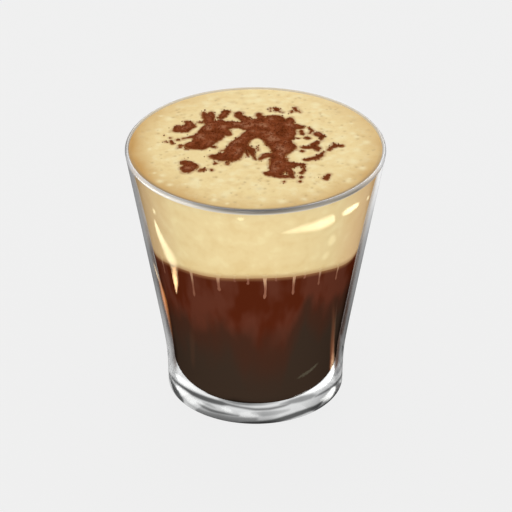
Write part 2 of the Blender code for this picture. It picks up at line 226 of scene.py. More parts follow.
# Strokes on the lip have mm over it for their height, below 0 outside
# Painted shade on the lip
LIP_SHADES = (
    (
        (-40, 0.8, 0.6, 0), (-26, 0.4, 1.1, 0.34), (-14, 0, 1.2, 0.54), (0, -0.1, 1.35, 0.72),
        (12, -0.2, 1.25, 0.66), (24, -0.7, 0.8, 0.46), (34, -1, 0.6, 0.46), (42, -1.2, 0.55, 0.58),
        (50, -1.25, 0.5, 0.58), (60, -1.4, 0.4, 0),
    ),
    ((-118, -0.3, 0.9, 0), (-90, 0.4, 0.9, 0.16), (-80, 0.9, 0.6, 0)),
)
# Painted highlights on the lip
LIP_SHINES = (
    (
        (-88, -0.4, 0.8, 0), (-72, -0.3, 0.9, 0.65), (-56, -0.9, 0.7, 1), (-42, -1.3, 0.7, 1),
        (-30, -1.5, 0.9, 0.6), (-18, -1.9, 0.5, 0.1), (-6, -2, 0.4, 0),
    ),
    ((50, 0.2, 0.2, 0.2), (61, -0.15, 0.45, 1), (75, -0.5, 0.6, 0.66), (96, -0.6, 0.5, 0)),
    ((18, 1, 0.6, 0), (28, 0.8, 0.8, 0.35), (49, 0.7, 0.9, 0.45), (66, 0.8, 0.7, 0.3), (80, 0.9, 0.5, 0)),
)
# Painted light of the plain lip at degrees round its front, and at mm over its back
LIP_FRONT = ((-90, 0.45), (-50, 0.58), (20, 0.6), (60, 0.56), (90, 0.56))
LIP_BACK = ((-0.9, 0.46), (0.3, 0.93))
FOOT_CLEAR = 0.93
# Painted light: amber gleams where light shows through the edge of the coffee
COFFEE_GLEAMS = (
    (
        (-82, 42, 1, 0.2), (-80, 36, 2.4, 0.7), (-79, 30, 2.8, 0.8), (-78, 26, 2.4, 0.6),
        (-78, 21, 1.8, 0.35), (-78, 16, 1, 0.15),
    ),
    (
        (52, 40, 0.3, 0), (58, 31, 0.8, 0.2), (63, 21.4, 1.2, 0.4), (68, 14.3, 1.6, 0.6),
        (69, 10, 1.6, 0.5),
    ),
    ((-42, 34, 0.8, 0), (-45, 26, 1.2, 0.04), (-48, 17, 1, 0.04), (-49, 13, 0.4, 0)),
    ((118, 44, 1.2, 0.1), (122, 30, 1.8, 0.3), (126, 18, 1, 0.1)),
    ((196, 40, 0.8, 0.1), (200, 26, 1.5, 0.25), (203, 16, 0.8, 0.1)),
)
# How far below the cream the coffee turns from red to dark, in mm, at degrees round from the front
COFFEE_TURNS = (
    (-180, 26), (-110, 24), (-72, 21), (-54, 21), (-44, 22), (-34, 23), (-26, 22), (-16, 22), (-8, 27),
    (4, 31), (18, 30), (25, 19), (31, 13), (38, 16), (46, 19), (56, 15), (68, 14), (80, 16), (110, 22),
    (180, 26),
)
# Bright strips that the wall mirrors: their colour, and a stroke whose strength is how bright it is
CARDS = {
    "left_streak": ("card_pale", (
        (-53.8, 71, 0.3, 4), (-53, 68, 0.9, 4.8), (-51.4, 65, 1.5, 5), (-49, 62.2, 2, 4.6),
        (-46.8, 59.6, 2.4, 4.8), (-45.4, 57.2, 2.2, 5), (-45, 55.4, 1.4, 3.6), (-45.2, 53, 0.6, 0.6),
    )),
    "left_tip": ("card_tip", (
        (-45.4, 58, 0.8, 2), (-45, 56.6, 1.3, 9), (-45, 55, 1.4, 12), (-45.1, 53.2, 1.2, 12),
        (-45.3, 51.2, 1.1, 16), (-45.6, 49.2, 0.9, 17), (-46, 47.2, 0.6, 13), (-46.6, 44.6, 0.3, 8),
    )),
    "lip_left": ("card_lip", (
        (-70, 83.3, 0.3, 4), (-64, 83.5, 0.7, 9), (-56, 83.5, 0.9, 12), (-46, 83.5, 0.9, 12),
        (-36, 83.4, 0.7, 9), (-26, 83.3, 0.5, 6), (-16, 83.3, 0.3, 3),
    )),
    "left_dot": ("card_pale", ((-53, 75.2, 0.3, 3), (-52.7, 74, 0.7, 3), (-53, 72.8, 0.3, 3))),
    "left_pale": ("card_cream", (
        (-66.8, 51.2, 0.4, 1), (-65.4, 49, 0.8, 3), (-64.2, 46.8, 0.9, 3.2), (-63.4, 44.4, 0.8, 2.2),
        (-62.8, 42.2, 0.4, 1),
    )),
    "left_amber": ("card_amber", (
        (-63, 47.4, 0.5, 0.6), (-62.4, 44.4, 1.1, 1.6), (-61.6, 41.4, 1.5, 2.4),
        (-61.2, 38.4, 1.7, 2.6), (-61, 35.4, 1.6, 2), (-60.8, 32, 1.3, 1.2), (-60.6, 28, 1, 0.6),
        (-60.6, 23, 0.6, 0.2),
    )),
    "right_streak": ("card_pale", (
        (10.4, 74.6, 0.2, 2), (16, 75, 0.9, 4.6), (21, 75.2, 1.5, 6.4), (27.3, 75.2, 1.9, 7.6),
        (33, 75.5, 2.1, 7.8), (36.4, 75.8, 1.9, 7), (38.2, 76, 0.9, 5),
    )),
    "right_patch": ("card_pale", (
        (41.6, 75.9, 0.6, 4), (44, 76.2, 1.2, 7), (47.6, 76.4, 1.3, 8), (51, 76.5, 1.1, 7),
        (53.8, 76.6, 0.5, 4),
    )),
    "right_dot": ("card_pale", ((59.6, 75.7, 0.3, 1.6), (61.3, 76, 0.8, 2), (63, 76.2, 0.3, 1.6))),
    "small_dot": ("card_pale", ((-8.2, 80.4, 0.2, 4), (-6.2, 80.5, 0.6, 5), (-4.2, 80.6, 0.2, 4))),
    "soft_patch": ("card_pale", ((37.8, 70, 0.5, 1.6), (38.1, 67.5, 1.4, 2), (37.2, 65, 0.8, 1.6))),
    "soft_spot": ("card_pale", ((37, 64, 0.5, 1), (35.8, 62, 1.2, 1.2), (34.6, 60.4, 0.5, 1))),
    "low_arc": ("card_pale", (
        (26, 15.6, 0.3, 0.4), (31, 16.2, 0.7, 0.7), (37.6, 17.4, 0.7, 0.7), (43, 19, 0.3, 0.4),
    )),
    "right_amber": ("card_dull", (
        (50, 42, 0.3, 0.1), (52.4, 32, 0.4, 0.25), (54.4, 25, 0.5, 0.4), (56.2, 20, 0.8, 0.9),
        (57.6, 16.4, 1.2, 2.6), (58.2, 13.4, 1.6, 3.2),
    )),
    "right_core": ("card_cream", (
        (56.6, 20, 0.2, 0.4), (57.4, 17.4, 0.5, 2.6), (58.2, 14.8, 0.9, 6), (58.8, 12.4, 1.1, 7),
        (58.8, 11, 0.8, 4),
    )),
    "right_wedge": ("card_white", (
        (59.4, 14, 0.3, 3), (59.6, 12.2, 1.2, 9), (58.6, 10.4, 1.7, 10), (52, 9, 1.5, 9),
        (45, 8.7, 1.1, 8), (38, 8.7, 0.8, 6), (30, 8.7, 0.4, 4), (23, 8.5, 0.2, 2),
    )),
    "foot_left": ("card_white", (
        (-66, 8.6, 0.4, 1.2), (-60, 8.4, 1.2, 3), (-54, 8.6, 1.5, 3.8), (-47.3, 8.8, 1.2, 3.8),
        (-42, 8.6, 0.8, 3.4), (-36, 8.3, 0.6, 2.2), (-28, 7.9, 0.4, 1.4), (-20, 7.8, 0.2, 0.8),
    )),
    "foot_left_low": ("card_white", (
        (-66, 4, 0.4, 2.4), (-59, 4.2, 1.1, 3.6), (-52, 4, 1.7, 4), (-46, 3.6, 1.6, 4),
        (-40.5, 4, 0.9, 3), (-34, 4.6, 0.3, 1.2),
    )),
    "foot_middle": ("card_white", ((-24, 5.1, 0.3, 2.5), (-19, 4.6, 0.8, 4.8), (-13.5, 4.1, 0.4, 3.5))),
    "foot_front": ("card_white", (
        (-12, 3.9, 0.4, 2), (-7, 3.7, 1.1, 4), (-1, 3.6, 1, 4), (3.5, 3.4, 0.4, 1.6),
    )),
    "foot_right_low": ("card_white", (
        (46, 3.4, 0.4, 2.6), (51, 2.9, 1, 5.2), (56.5, 2.8, 1.6, 7), (61.5, 3, 1.6, 7),
        (67, 3.2, 0.5, 3),
    )),
}


def linear(red, green, blue):
    """A colour of 0 to 255 as it looks on screen, in Blender's linear values."""
    shares = [value / 255 for value in (red, green, blue)]
    return tuple(s / 12.92 if s <= 0.04045 else ((s + 0.055) / 1.055) ** 2.4 for s in shares)


def amount(name, description, value, **more):
    return FloatProperty(name=name, description=description, default=value, **more)


def length(name, description, millimetres):
    return amount(name, description, millimetres * MM, unit="LENGTH", precision=5)


def colour(name, description, red, green, blue):
    value = linear(red, green, blue)
    limits = {"min": 0, "max": 1}
    return FloatVectorProperty(name=name, description=description, default=value, subtype="COLOR", **limits)


class TumblerSettings(PropertyGroup):
    rim_radius: length("Rim radius", "Outer radius at the rim", GLASS_HIGH.x / MM)
    height: length("Height", "Height from the foot to the top of the lip", GLASS_HIGH.z / MM)
    foot_radius: length("Foot radius", "Outer radius of the foot", 27.7)
    flare_start: length("Flare start", "Height where the wall starts to lean out", 12.2)
    flare_ease: length("Flare ease", "How softly the wall starts to lean out", 6.0)
    rim_wall: length("Rim wall", "Thickness of the wall at the rim", 1.2)
    foot_wall: length("Foot wall", "Thickness of the wall at the foot", 2.5)
    fullness: amount("Fullness", "How far up the wall keeps its thickness", 7)
    base: length("Base", "Thickness of the floor of the glass", 3.0)
    floor_corner: length("Floor corner", "Radius between floor and wall inside the glass", 8.0)
    heel: length("Heel", "Radius of the outer edge of the foot", 0.6)
    punt_radius: length("Hollow radius", "Radius of the hollow under the foot", 19.6)
    punt_step: length("Hollow step", "Height of the bevel round the hollow", 0.7)
    punt_depth: length("Hollow depth", "Depth of the hollow under the foot", 1.2)
    columns: IntProperty(name="Columns", description="Facets round the glass", default=288, min=24)
    tint: colour("Tint", "Colour of the glass", 252, 253, 253)
    lip_tint: colour("Lip tint", "Colour of the lip", 252, 251, 251)


class DrinkSettings(PropertyGroup):
    reach: length("Reach", "How far the drink reaches into the wall, so that no air shows", 0.12)
    level: length("Coffee level", "Height where cream meets coffee in the middle", 56.0)
    side_sag: length("Side sag", "How much lower the cream hangs at the left and right", 6.0)
    ripple: length("Ripple", "Unevenness of the line between cream and coffee", 0.35)
    below_rim: length("Below rim", "How far the cream stays under the rim", 0.5)
    crown: length("Crown", "How much the cream stands up in the middle", 0.8)
    dimples: length("Dimples", "Depth of the soft dimples in the cream", 0.16)
    dimple_size: length("Dimple size", "Distance between soft dimples", 6.0)
    run_root: length("Run root", "How far each run of cream starts above the coffee", 1.4)
    run_depth: length("Run depth", "Thickness of a run of cream", 0.55)


class CocoaSettings(PropertyGroup):
    spread: amount("Spread", "Widening of every stroke of cocoa", 1.0)
    thickness: length("Thickness", "Height of the crust of cocoa over the cream", 0.5)
    crumb: length("Crumb size", "Size of the crumbs in the crust", 0.9)
    cell: length("Cell", "Size of the crust's mesh cells", 0.22)
    crumbs: IntProperty(name="Crumbs", description="Loose crumbs on and beside the crust", default=1500)


class ColourSettings(PropertyGroup):
    cream: colour("Cream", "Top of the cream", 247, 221, 156)
    cream_pale: colour("Pale cream", "Pale froth in the cream", 254, 238, 184)
    # Yellow-brown cream: its own random patches, and painted shade where the cream meets the wall
    cream_tan_and_shade: colour("Tan cream", "Cream against the wall", 206, 156, 74)
    rim_shade: colour("Rim shade", "Cream in the shade of the lip", 124, 112, 98)
    # Painted shade in the small open bubble pits and holes of the cream
    cream_pit_shade: colour("Bubble pits", "Small open bubbles in the cream", 206, 174, 116)
    cream_side: colour("Cream behind the wall", "Cream seen through the glass", 241, 217, 161)
    # Painted light on the cream behind the wall at its right
    cream_lit: colour("Lit cream", "Cream at the right, seen through much glass", 250, 202, 150)
    # Painted shade on the cream behind the wall at its sides
    cream_flank_shade: colour("Cream at the sides", "Cream seen through much glass", 218, 176, 130)
    mingled: colour("Mingled", "Where cream and coffee mingle", 168, 118, 78)
    # Painted shade of the glass where it starts to turn edge on
    glass_dusk: colour("Glass dusk", "Glass where it starts to turn edge on", 160, 150, 160)
    glass_tan: colour("Tan glass", "Edge of the glass that takes up the cream", 196, 178, 156)
    glass_brown: colour("Brown glass", "Edge of the glass that takes up the coffee", 72, 46, 34)
    card_white: colour("White card", "Reflection in the foot", 255, 255, 252)
    card_pale: colour("Pale card", "Reflection over the cream", 252, 255, 214)
    card_cream: colour("Cream card", "Reflection over the coffee", 255, 228, 186)
    card_tip: colour("Tip card", "Tip of the long reflection, over the coffee", 255, 212, 156)
    card_lip: colour("Lip card", "Reflection along the lip", 255, 250, 236)
    card_amber: colour("Amber card", "Warm reflection at the left of the coffee", 255, 166, 100)
    card_dull: colour("Dull card", "Warm reflection at the right of the coffee", 255, 200, 156)
    run_pale: colour("Pale run", "Upper part of a run of cream", 208, 164, 128)
    run_faded: colour("Faded run", "Lower part of a run of cream", 150, 98, 76)
    coffee_pale: colour("Paler coffee", "Duller, paler clouds in the upper coffee", 98, 50, 35)
    coffee_red: colour("Red coffee", "Reddest part of the coffee", 86, 34, 16)
    coffee_mid: colour("Middle coffee", "Coffee between the red and the dark", 70, 42, 30)
    coffee_low: colour("Lower coffee", "Coffee at the bottom of the glass", 60, 46, 36)
    # Painted light through the edge of the coffee
    coffee_gleam: colour("Coffee gleam", "Light through the edge of the coffee", 176, 108, 74)
    cocoa: colour("Cocoa", "Cocoa powder", 139, 71, 40)
    # Darker cocoa: its own random dark patches, and painted shade between crumbs and just inside the edges
    cocoa_dark_and_shade: colour("Dark cocoa", "Cocoa in the hollows between crumbs", 108, 49, 19)
    # Painted light on top of the clumps, and painted highlights on fine grains
    cocoa_lit: colour("Pale cocoa", "Dry cocoa on top of the clumps", 170, 114, 82)
    cocoa_thin: colour("Thin cocoa", "Powder where the cream shows through", 176, 126, 78)


class StageSettings(PropertyGroup):
    distance: amount("Distance", "From the camera to the spot that it looks at", 1.0, unit="LENGTH")
    aim: length("Aim", "Height that the camera looks at", 41.8)
    elevation: amount("Elevation", "Camera above level", math.radians(30.53), subtype="ANGLE")
    focal: amount("Focal share", "Focal length over sensor width", 3197 / FRAME_SIDE)
    shift_x: amount("Shift X", "Camera shift across", 0.5 / FRAME_SIDE)
    shift_y: amount("Shift Y", "Camera shift up", 8.1 / FRAME_SIDE)
    floor_glow: amount("Floor glow", "Light from the floor", 0.83)
    floor_grey: amount("Floor grey", "Matt part of the floor, which takes a shadow", 0.04, min=0, max=1)
    sky: amount("Sky", "Light from all round", 0.62)
    overhead: amount("Overhead", "Power of the soft light overhead", 2.4, unit="POWER")
    fill: amount("Fill", "Power of the soft light in front", 5.0, unit="POWER")
    rear: amount("Rear", "Power of the soft light behind", 3.0, unit="POWER")


def settings():
    """The settings of this scene: tumbler, drink, cocoa, colours and stage."""
    return bpy.context.scene.egg_coffee


class EggCoffeeSettings(PropertyGroup):
    tumbler: PointerProperty(type=TumblerSettings)
    drink: PointerProperty(type=DrinkSettings)
    cocoa: PointerProperty(type=CocoaSettings)
    colours: PointerProperty(type=ColourSettings)
    stage: PointerProperty(type=StageSettings)


# Curves that the pieces share

def flare(height):
    """How far the outer wall has opened above the foot, before it is scaled to meet the rim."""
    sizes = settings().tumbler
    above = height - sizes.flare_start
    return (above + np.hypot(above, sizes.flare_ease)) / 2


def lip_height():
    sizes = settings().tumbler
    return sizes.height - sizes.rim_wall / 2


def outer_radius(height):
    sizes = settings().tumbler
    opened = (flare(height) - flare(0.0)) / (flare(lip_height()) - flare(0.0))
    return sizes.foot_radius + (sizes.rim_radius - sizes.foot_radius) * opened


def inner_radius(height):
    sizes = settings().tumbler
    thinned = (height / lip_height()) ** sizes.fullness
    return outer_radius(height) - (sizes.foot_wall + (sizes.rim_wall - sizes.foot_wall) * thinned)


def coffee_level(angle, out=1.0):
    """Height where cream meets coffee, at an angle round and a share of the way out to the wall."""
    drink = settings().drink
    sag = drink.side_sag * (out * np.abs(np.sin(angle))) ** 3
    ripple = np.sin(5 * angle + 0.6) + 0.6 * np.sin(8 * angle + 2.1)
    return drink.level - sag + drink.ripple * ripple * out**2


def noise_at(points, size, shift=0.0):
    """Smooth noise of -1 to 1 at each point, with features of a given size."""
    return np.array([noise.noise(Vector(point) / size + Vector((shift, shift, shift))) for point in points])


def flat_points(x, y):
    return np.column_stack([np.ravel(x), np.ravel(y), np.zeros(np.size(x))])


def cream_surface(x, y):
    """Height of the top of the cream: a low crown with soft dimples."""
    drink = settings().drink
    edge = settings().tumbler.height - drink.below_rim
    out = np.minimum(np.hypot(x, y) / inner_radius(edge), 1.0)
    dimple = noise_at(flat_points(x, y), drink.dimple_size).reshape(np.shape(x))
    return edge + drink.crown * (1 - out**2) + drink.dimples * dimple * (1 - out**6)


def arc(centre, radius, start, end, steps):
    """Points (r, z) on an arc about centre, from start to end in degrees, ends included."""
    turns = np.radians(np.linspace(start, end, steps + 1))
    return [(centre[0] + radius * math.cos(t), centre[1] + radius * math.sin(t)) for t in turns]


def bowl_corner(grown):
    """The round corner between floor and wall inside the glass, or grown out from it."""
    sizes = settings().tumbler
    top = sizes.base + sizes.floor_corner
    centre = (inner_radius(top) - sizes.floor_corner, top)
    return arc(centre, sizes.floor_corner + grown, -90, 0, CORNER_STEPS)


def stretch_at(x, y, start, end):
    """How far along a straight stretch each point lies, as 0 to 1, and how far away from it."""
    (x0, y0), (x1, y1) = start, end
    across, up = x1 - x0, y1 - y0
    along = ((x - x0) * across + (y - y0) * up) / (across**2 + up**2)
    along = np.clip(along, 0, 1)
    return along, np.hypot(x - x0 - along * across, y - y0 - along * up)


def strokes_at(degrees_round, height, strokes, soft, radius):
    """The strongest stroke at each point of the wall, softened at its edge. Lengths are in millimetres."""
    across = np.radians(degrees_round) * radius
    strength = np.zeros(np.shape(across))
    for stroke in strokes:
        for (turn0, z0, w0, s0), (turn1, z1, w1, s1) in zip(stroke, stroke[1:]):
            start, end = (math.radians(turn0) * radius, z0), (math.radians(turn1) * radius, z1)
            along, away = stretch_at(across, height, start, end)
            inside = np.clip((w0 + along * (w1 - w0) - away) / soft + 0.5, 0, 1)
            strength = np.maximum(strength, (s0 + along * (s1 - s0)) * inside**2 * (3 - 2 * inside))
    return strength


def wrapped(angle):
    """Angles round as degrees of -180 to 180."""
    return (np.degrees(angle) + 180) % 360 - 180


def hump(value, centre, half_width):
    """1 at the centre, easing to 0 a few half widths away."""
    return np.exp(-(((value - centre) / half_width) ** 2))


def ramp(value, start, end):
    """0 before the start and 1 past the end, straight in between."""
    return np.clip((value - start) / (end - start), 0, 1)


def along_line(value, spots):
    """The height of a line through spots of (value, height)."""
    return np.interp(value, *zip(*spots))


# Meshes

def linked(name, data):
    made = bpy.data.objects.new(name, data)
    bpy.context.scene.collection.objects.link(made)
    return made


def linked_mesh(name, points, faces, finishes, marks):
    """Links a mesh. Its marks are values at each point that its materials read."""
    data = bpy.data.meshes.new(name)
    data.from_pydata([tuple(point) for point in points], [], [tuple(face) for face in faces])
    for finish in finishes:
        data.materials.append(finish)
    for mark, values in marks.items():
        layer = data.attributes.new(mark, "FLOAT", "POINT")
        layer.data.foreach_set("value", np.asarray(values, dtype=np.float32))
    return linked(name, data)


def add_piece(name, points, faces, finishes, slot, replaced, marks, finish_of=None, sharp=40):
    """Adds a mesh that rides on the frame, with its finishes and the CAD nodes that it stands for."""
    made = linked_mesh(name, points, faces, finishes, marks)
    made.data.shade_smooth()
    made.data.set_sharp_from_angle(angle=math.radians(sharp))
    if finish_of is not None:
        made.data.polygons.foreach_set("material_index", np.asarray(finish_of, dtype=np.int32))
    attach(made, BODY)
    if replaced:
        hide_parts(*replaced)
    return made


def hide_from(made, *rays):
    for ray in rays:
        setattr(made, f"visible_{ray}", False)


def ring_faces(low, high):
    """Quads between two rings of point numbers, facing out where the rings rise."""
    return np.column_stack([low, np.roll(low, -1), np.roll(high, -1), high]).tolist()


def fan_faces(tip, ring, facing_down):
    after = np.roll(ring, -1)
    pair = (after, ring) if facing_down else (ring, after)
    return [(tip, int(a), int(b)) for a, b in zip(*pair)]


# The four points of every cell of a grid
GRID_CORNERS = (np.s_[:-1, :-1], np.s_[:-1, 1:], np.s_[1:, 1:], np.s_[1:, :-1])


def grid_faces(numbers):
    """The quads between the rows and columns of a grid of point numbers."""
    return np.stack([numbers[corner] for corner in GRID_CORNERS], axis=-1).reshape(-1, 4)


def angles_round(columns):
    return np.linspace(0, math.tau, columns, endpoint=False)


def all_round(values, columns):
    """One value for each station, the same in every column."""
    return np.repeat(np.array(values, float)[:, None], columns, axis=1)


def on_circle(radius, angle, height):
    """Points at angles round the glass."""
    return np.stack(np.broadcast_arrays(radius * np.sin(angle), -radius * np.cos(angle), height), axis=-1)


def turned(radius, height, fields):
    """A closed body round Z: its points, its faces, the station under each face and the marks of its points.

    All arrays are (stations, columns) and run from the axis at one end of the body to the axis at the other.
    """
    stations, columns = radius.shape
    rings = on_circle(radius, angles_round(columns), height)
    points = [(0, 0, height[0, 0]), *rings[1:-1].reshape(-1, 3), (0, 0, height[-1, 0])]
    numbers = 1 + np.arange((stations - 2) * columns).reshape(stations - 2, columns)
    faces = fan_faces(0, numbers[0], True)
    for low, high in zip(numbers, numbers[1:]):
        faces += ring_faces(low, high)
    faces += fan_faces(len(points) - 1, numbers[-1], False)
    station_of = np.repeat(np.arange(stations - 1), columns)
    marks = {mark: [field[0, 0], *field[1:-1].ravel(), field[-1, 0]] for mark, field in fields.items()}
    return points, faces, station_of, marks


# Materials

class Wire:
    """An output of a material's node. Arithmetic on it adds Math nodes to the material."""

    def __init__(self, tree, socket=None):
        self.tree = tree
        self.socket = socket

    def node(self, kind, options=None, values=None, output=0):
        """Adds a node of a type, with its options first and then the values or links of its sockets."""
        made = self.tree.nodes.new(kind)
        for name, value in (options or {}).items():
            setattr(made, name, value)
        self.fill(made, values or {})
        return Wire(self.tree, made.outputs[output] if made.outputs else None)

    def fill(self, node, values):
        """Gives the sockets of a node their values or links."""
        for name, value in values.items():
            if isinstance(value, Wire):
                self.tree.links.new(value.socket, node.inputs[name])
            else:
                node.inputs[name].default_value = value

    def maths(self, operation, first, second):
        return self.node("ShaderNodeMath", {"operation": operation}, {0: first, 1: second})

    def __add__(self, other):
        return self.maths("ADD", self, other)

    __radd__ = __add__

    def __sub__(self, other):
        return self.maths("SUBTRACT", self, other)

    def __rsub__(self, other):
        return self.maths("SUBTRACT", other, self)

    def __mul__(self, other):
        return self.maths("MULTIPLY", self, other)

    __rmul__ = __mul__

    def __truediv__(self, other):
        return self.maths("DIVIDE", self, other)

    def __rtruediv__(self, other):
        return self.maths("DIVIDE", other, self)

    def rise(self, low, high):
        """0 under low and 1 over high, eased in between. With low over high it falls."""
        values = {"Value": self, "From Min": low, "From Max": high}
        return self.node("ShaderNodeMapRange", {"interpolation_type": "SMOOTHSTEP"}, values)

    def blend(self, factor, first, second):
        """A mix of two colours."""
        return self.node("ShaderNodeMix", {"data_type": "RGBA"}, {0: factor, 6: first, 7: second}, output=2)

    def painted(self, ground, layers):
        """One of the scene's colours under others. Each layer is how much it covers, and its colour."""
        body = tone(ground)
        for cover, name in layers:
            body = self.blend(cover, body, tone(name))
        return body

    def mark(self, name):
        """A value that the mesh carries at each point."""
        return self.node("ShaderNodeAttribute", {"attribute_name": name}, output="Fac")

    def place(self):
        return self.node("ShaderNodeTexCoord", output="Object")

    def grain(self, size, detail=2.0, scale=(1, 1, 1), roughness=0.5):
        """Noise of 0 to 1 with features of a given size."""
        where = self.place()
        if scale != (1, 1, 1):
            where = self.node("ShaderNodeVectorMath", {"operation": "MULTIPLY"}, {0: where, 1: scale})
        values = {"Vector": where, "Scale": 1 / size, "Detail": detail, "Roughness": roughness}
        return self.node("ShaderNodeTexNoise", values=values)

    def cells(self, size):
        """Distance to the middle of uneven cells of a given size, in cell sizes."""
        values = {"Vector": self.place(), "Scale": 1 / size}
        return self.node("ShaderNodeTexVoronoi", values=values, output="Distance")

    def bump(self, height, distance, strength):
        values = {"Height": height, "Distance": distance, "Strength": strength}
        return self.node("ShaderNodeBump", values=values)


BLACK = (0.0, 0.0, 0.0, 1.0)
WHITE = (1.0, 1.0, 1.0, 1.0)


def new_finish(name):
    """A material, its Principled shader and a wire to build its nodes with."""
    made = bpy.data.materials.new(name)
    made.use_nodes = True
    tree = made.node_tree
    return made, tree.nodes["Principled BSDF"], Wire(tree)


def bare_finish(name):
    """A material that has no nodes yet, and a wire to build them with."""
    made, _, wire = new_finish(name)
    made.node_tree.nodes.clear()
    return made, wire


def tone(name):
    """One of the scene's colours, with its alpha."""
    return (*getattr(settings().colours, name), 1.0)


def clear_glass(name, index, clear, edges=True):
    """Clear glass, glossy on its outer face only. The mesh marks that face, and how light it looks, which is
    painted shade and painted reflection. With edges, the glass turning edge on is painted with shade and
    reflection.
    """
    made, shader, wire = new_finish(name)
    tumbler = settings().tumbler
    facing = wire.node("ShaderNodeLayerWeight", values={"Blend": 0.5}, output="Facing")
    if edges:
        near_drink = wire.blend(wire.mark("brown"), tone("glass_tan"), tone("glass_brown"))
        # Painted reflection and shade where the wall is edge on, and painted shade where it starts to turn
        edge_on = wire.blend(wire.mark("edge"), BLACK, WHITE)
        edge_on = wire.blend(facing.rise(0.82, 0.66) * wire.mark("inner"), edge_on, near_drink)
        turning = facing.rise(0.54, 0.68) * wire.mark("dusk")
        body = wire.blend(turning, (*tumbler.tint, 1.0), tone("glass_dusk"))
        body = wire.blend((facing - wire.mark("late")).rise(0.62, 0.70), body, edge_on)
    else:
        body = wire.blend(wire.mark("creamy"), (*tumbler.lip_tint, 1.0), tone("cream"))
    wire.fill(shader, {
        "Base Color": wire.blend(wire.mark("light"), BLACK, body),
        "Roughness": 0.0,
        "IOR": index,
        "Transmission Weight": clear,
        "Coat IOR": 1.5,
        "Coat Roughness": 0.0,
        "Coat Weight": wire.mark("outside") * facing.rise(0.82, 0.70),
    })
    return made


def coffee_finish():
    """Black coffee: red under the cream, in soft upright clouds, nearly black below, with a few painted
    gleams of light through its edge.
    """
    made, shader, wire = new_finish("black_coffee")
    below = wire.mark("below") / MM
    streaks = wire.grain(4 * MM, 3.0, (1, 1, 0.28)) - 0.5
    clouds = wire.grain(9 * MM, 2.0, (1, 1, 0.5)) - 0.5
    patches = wire.grain(7 * MM, 2.0, (1, 1, 0.4))
    depth = (below + streaks * 9 + clouds * 10) / wire.mark("turn")
    body = wire.painted("coffee_red", (
        (patches.rise(0.37, 0.57), "coffee_pale"),
        (depth.rise(0.6, 1.05), "coffee_mid"),
        (depth.rise(0.95, 1.7), "coffee_low"),
        (wire.mark("gleam"), "coffee_gleam"),
        (below.rise(1.7, -0.4) * 0.8, "mingled"),
    ))
    wire.fill(shader, {"Base Color": body, "Roughness": 0.3, "Specular IOR Level": 0.0})
    return made


def cream_side_finish():
    """Cream behind the wall: soft pale clouds, browner just above the coffee, with painted shade at its
    sides and under the lip, and painted light at its right.
    """
    made, shader, wire = new_finish("egg_cream_side")
    clouds = wire.grain(4.5 * MM, 2.0)
    above = wire.mark("above") / MM
    body = wire.painted("cream_side", (
        (clouds.rise(0.5, 0.7) * 0.35, "cream_pale"),
        (clouds.rise(0.48, 0.3) * 0.12, "cream_tan_and_shade"),
        (above.rise(9.0, 0.0) * 0.12, "cream_tan_and_shade"),
    ))
    # Painted shade at the sides, with painted light at the right
    flank = wire.painted("cream_flank_shade", ((wire.mark("lit"), "cream_lit"),))
    body = wire.blend(wire.mark("flank"), body, flank)
    body = wire.blend(wire.mark("shade"), body, tone("rim_shade"))
    body = wire.blend(above.rise(2.0, 0.0) * 0.65, body, tone("mingled"))
    wire.fill(shader, {"Base Color": body, "Roughness": 0.6, "Specular IOR Level": 0.0})
    return made


def cream_finish():
    """Whipped egg cream: pale froth, small bubble pits painted brown as shade, and painted yellow-brown
    shade against the wall.
    """
    made, shader, wire = new_finish("whipped_egg_cream")
    mottle = wire.grain(3.2 * MM, 3.0)
    fine = wire.grain(0.9 * MM, 2.0)
    # Small holes: a bump, with painted shade in them
    holes = wire.cells(1.1 * MM).rise(0.22, 0.1) * fine.rise(0.48, 0.6)
    body = wire.painted("cream", (
        (mottle.rise(0.5, 0.72) * 0.55, "cream_pale"),
        (mottle.rise(0.5, 0.28) * 0.2, "cream_tan_and_shade"),
        # Painted shade toward the wall
        (wire.mark("tan"), "cream_tan_and_shade"),
        (wire.mark("pale") * 0.7, "cream_pale"),
        (wire.mark("shade"), "rim_shade"),
        (wire.mark("dust") * 0.75, "cocoa_thin"),
        # Painted shade in the pits and holes
        (wire.mark("pit") * 0.75, "cream_pit_shade"),
        (holes * 0.35, "cream_pit_shade"),
    ))
    wire.fill(shader, {
        "Base Color": body,
        "Roughness": 0.5 + fine * 0.15,
        "Specular IOR Level": 0.3,
        "Normal": wire.bump(fine * 0.5 - holes, 0.1 * MM, 0.6),
    })
    return made


def run_finish():
    """A run of cream: pale at its root, faded to pinkish brown further down."""
    made, shader, wire = new_finish("cream_run")
    below = wire.mark("below") / MM
    body = wire.painted("run_pale", (
        (wire.mark("down").rise(0.2, 0.6), "run_faded"),
        (wire.mark("faint"), "coffee_pale"),
    ))
    root = wire.painted("cream_side", ((below.rise(-2.0, 0.0) * 0.65, "mingled"),))
    body = wire.blend(below.rise(0.6, -0.2), body, root)
    wire.fill(shader, {"Base Color": body, "Roughness": 0.5, "Specular IOR Level": 0.0})
    return made


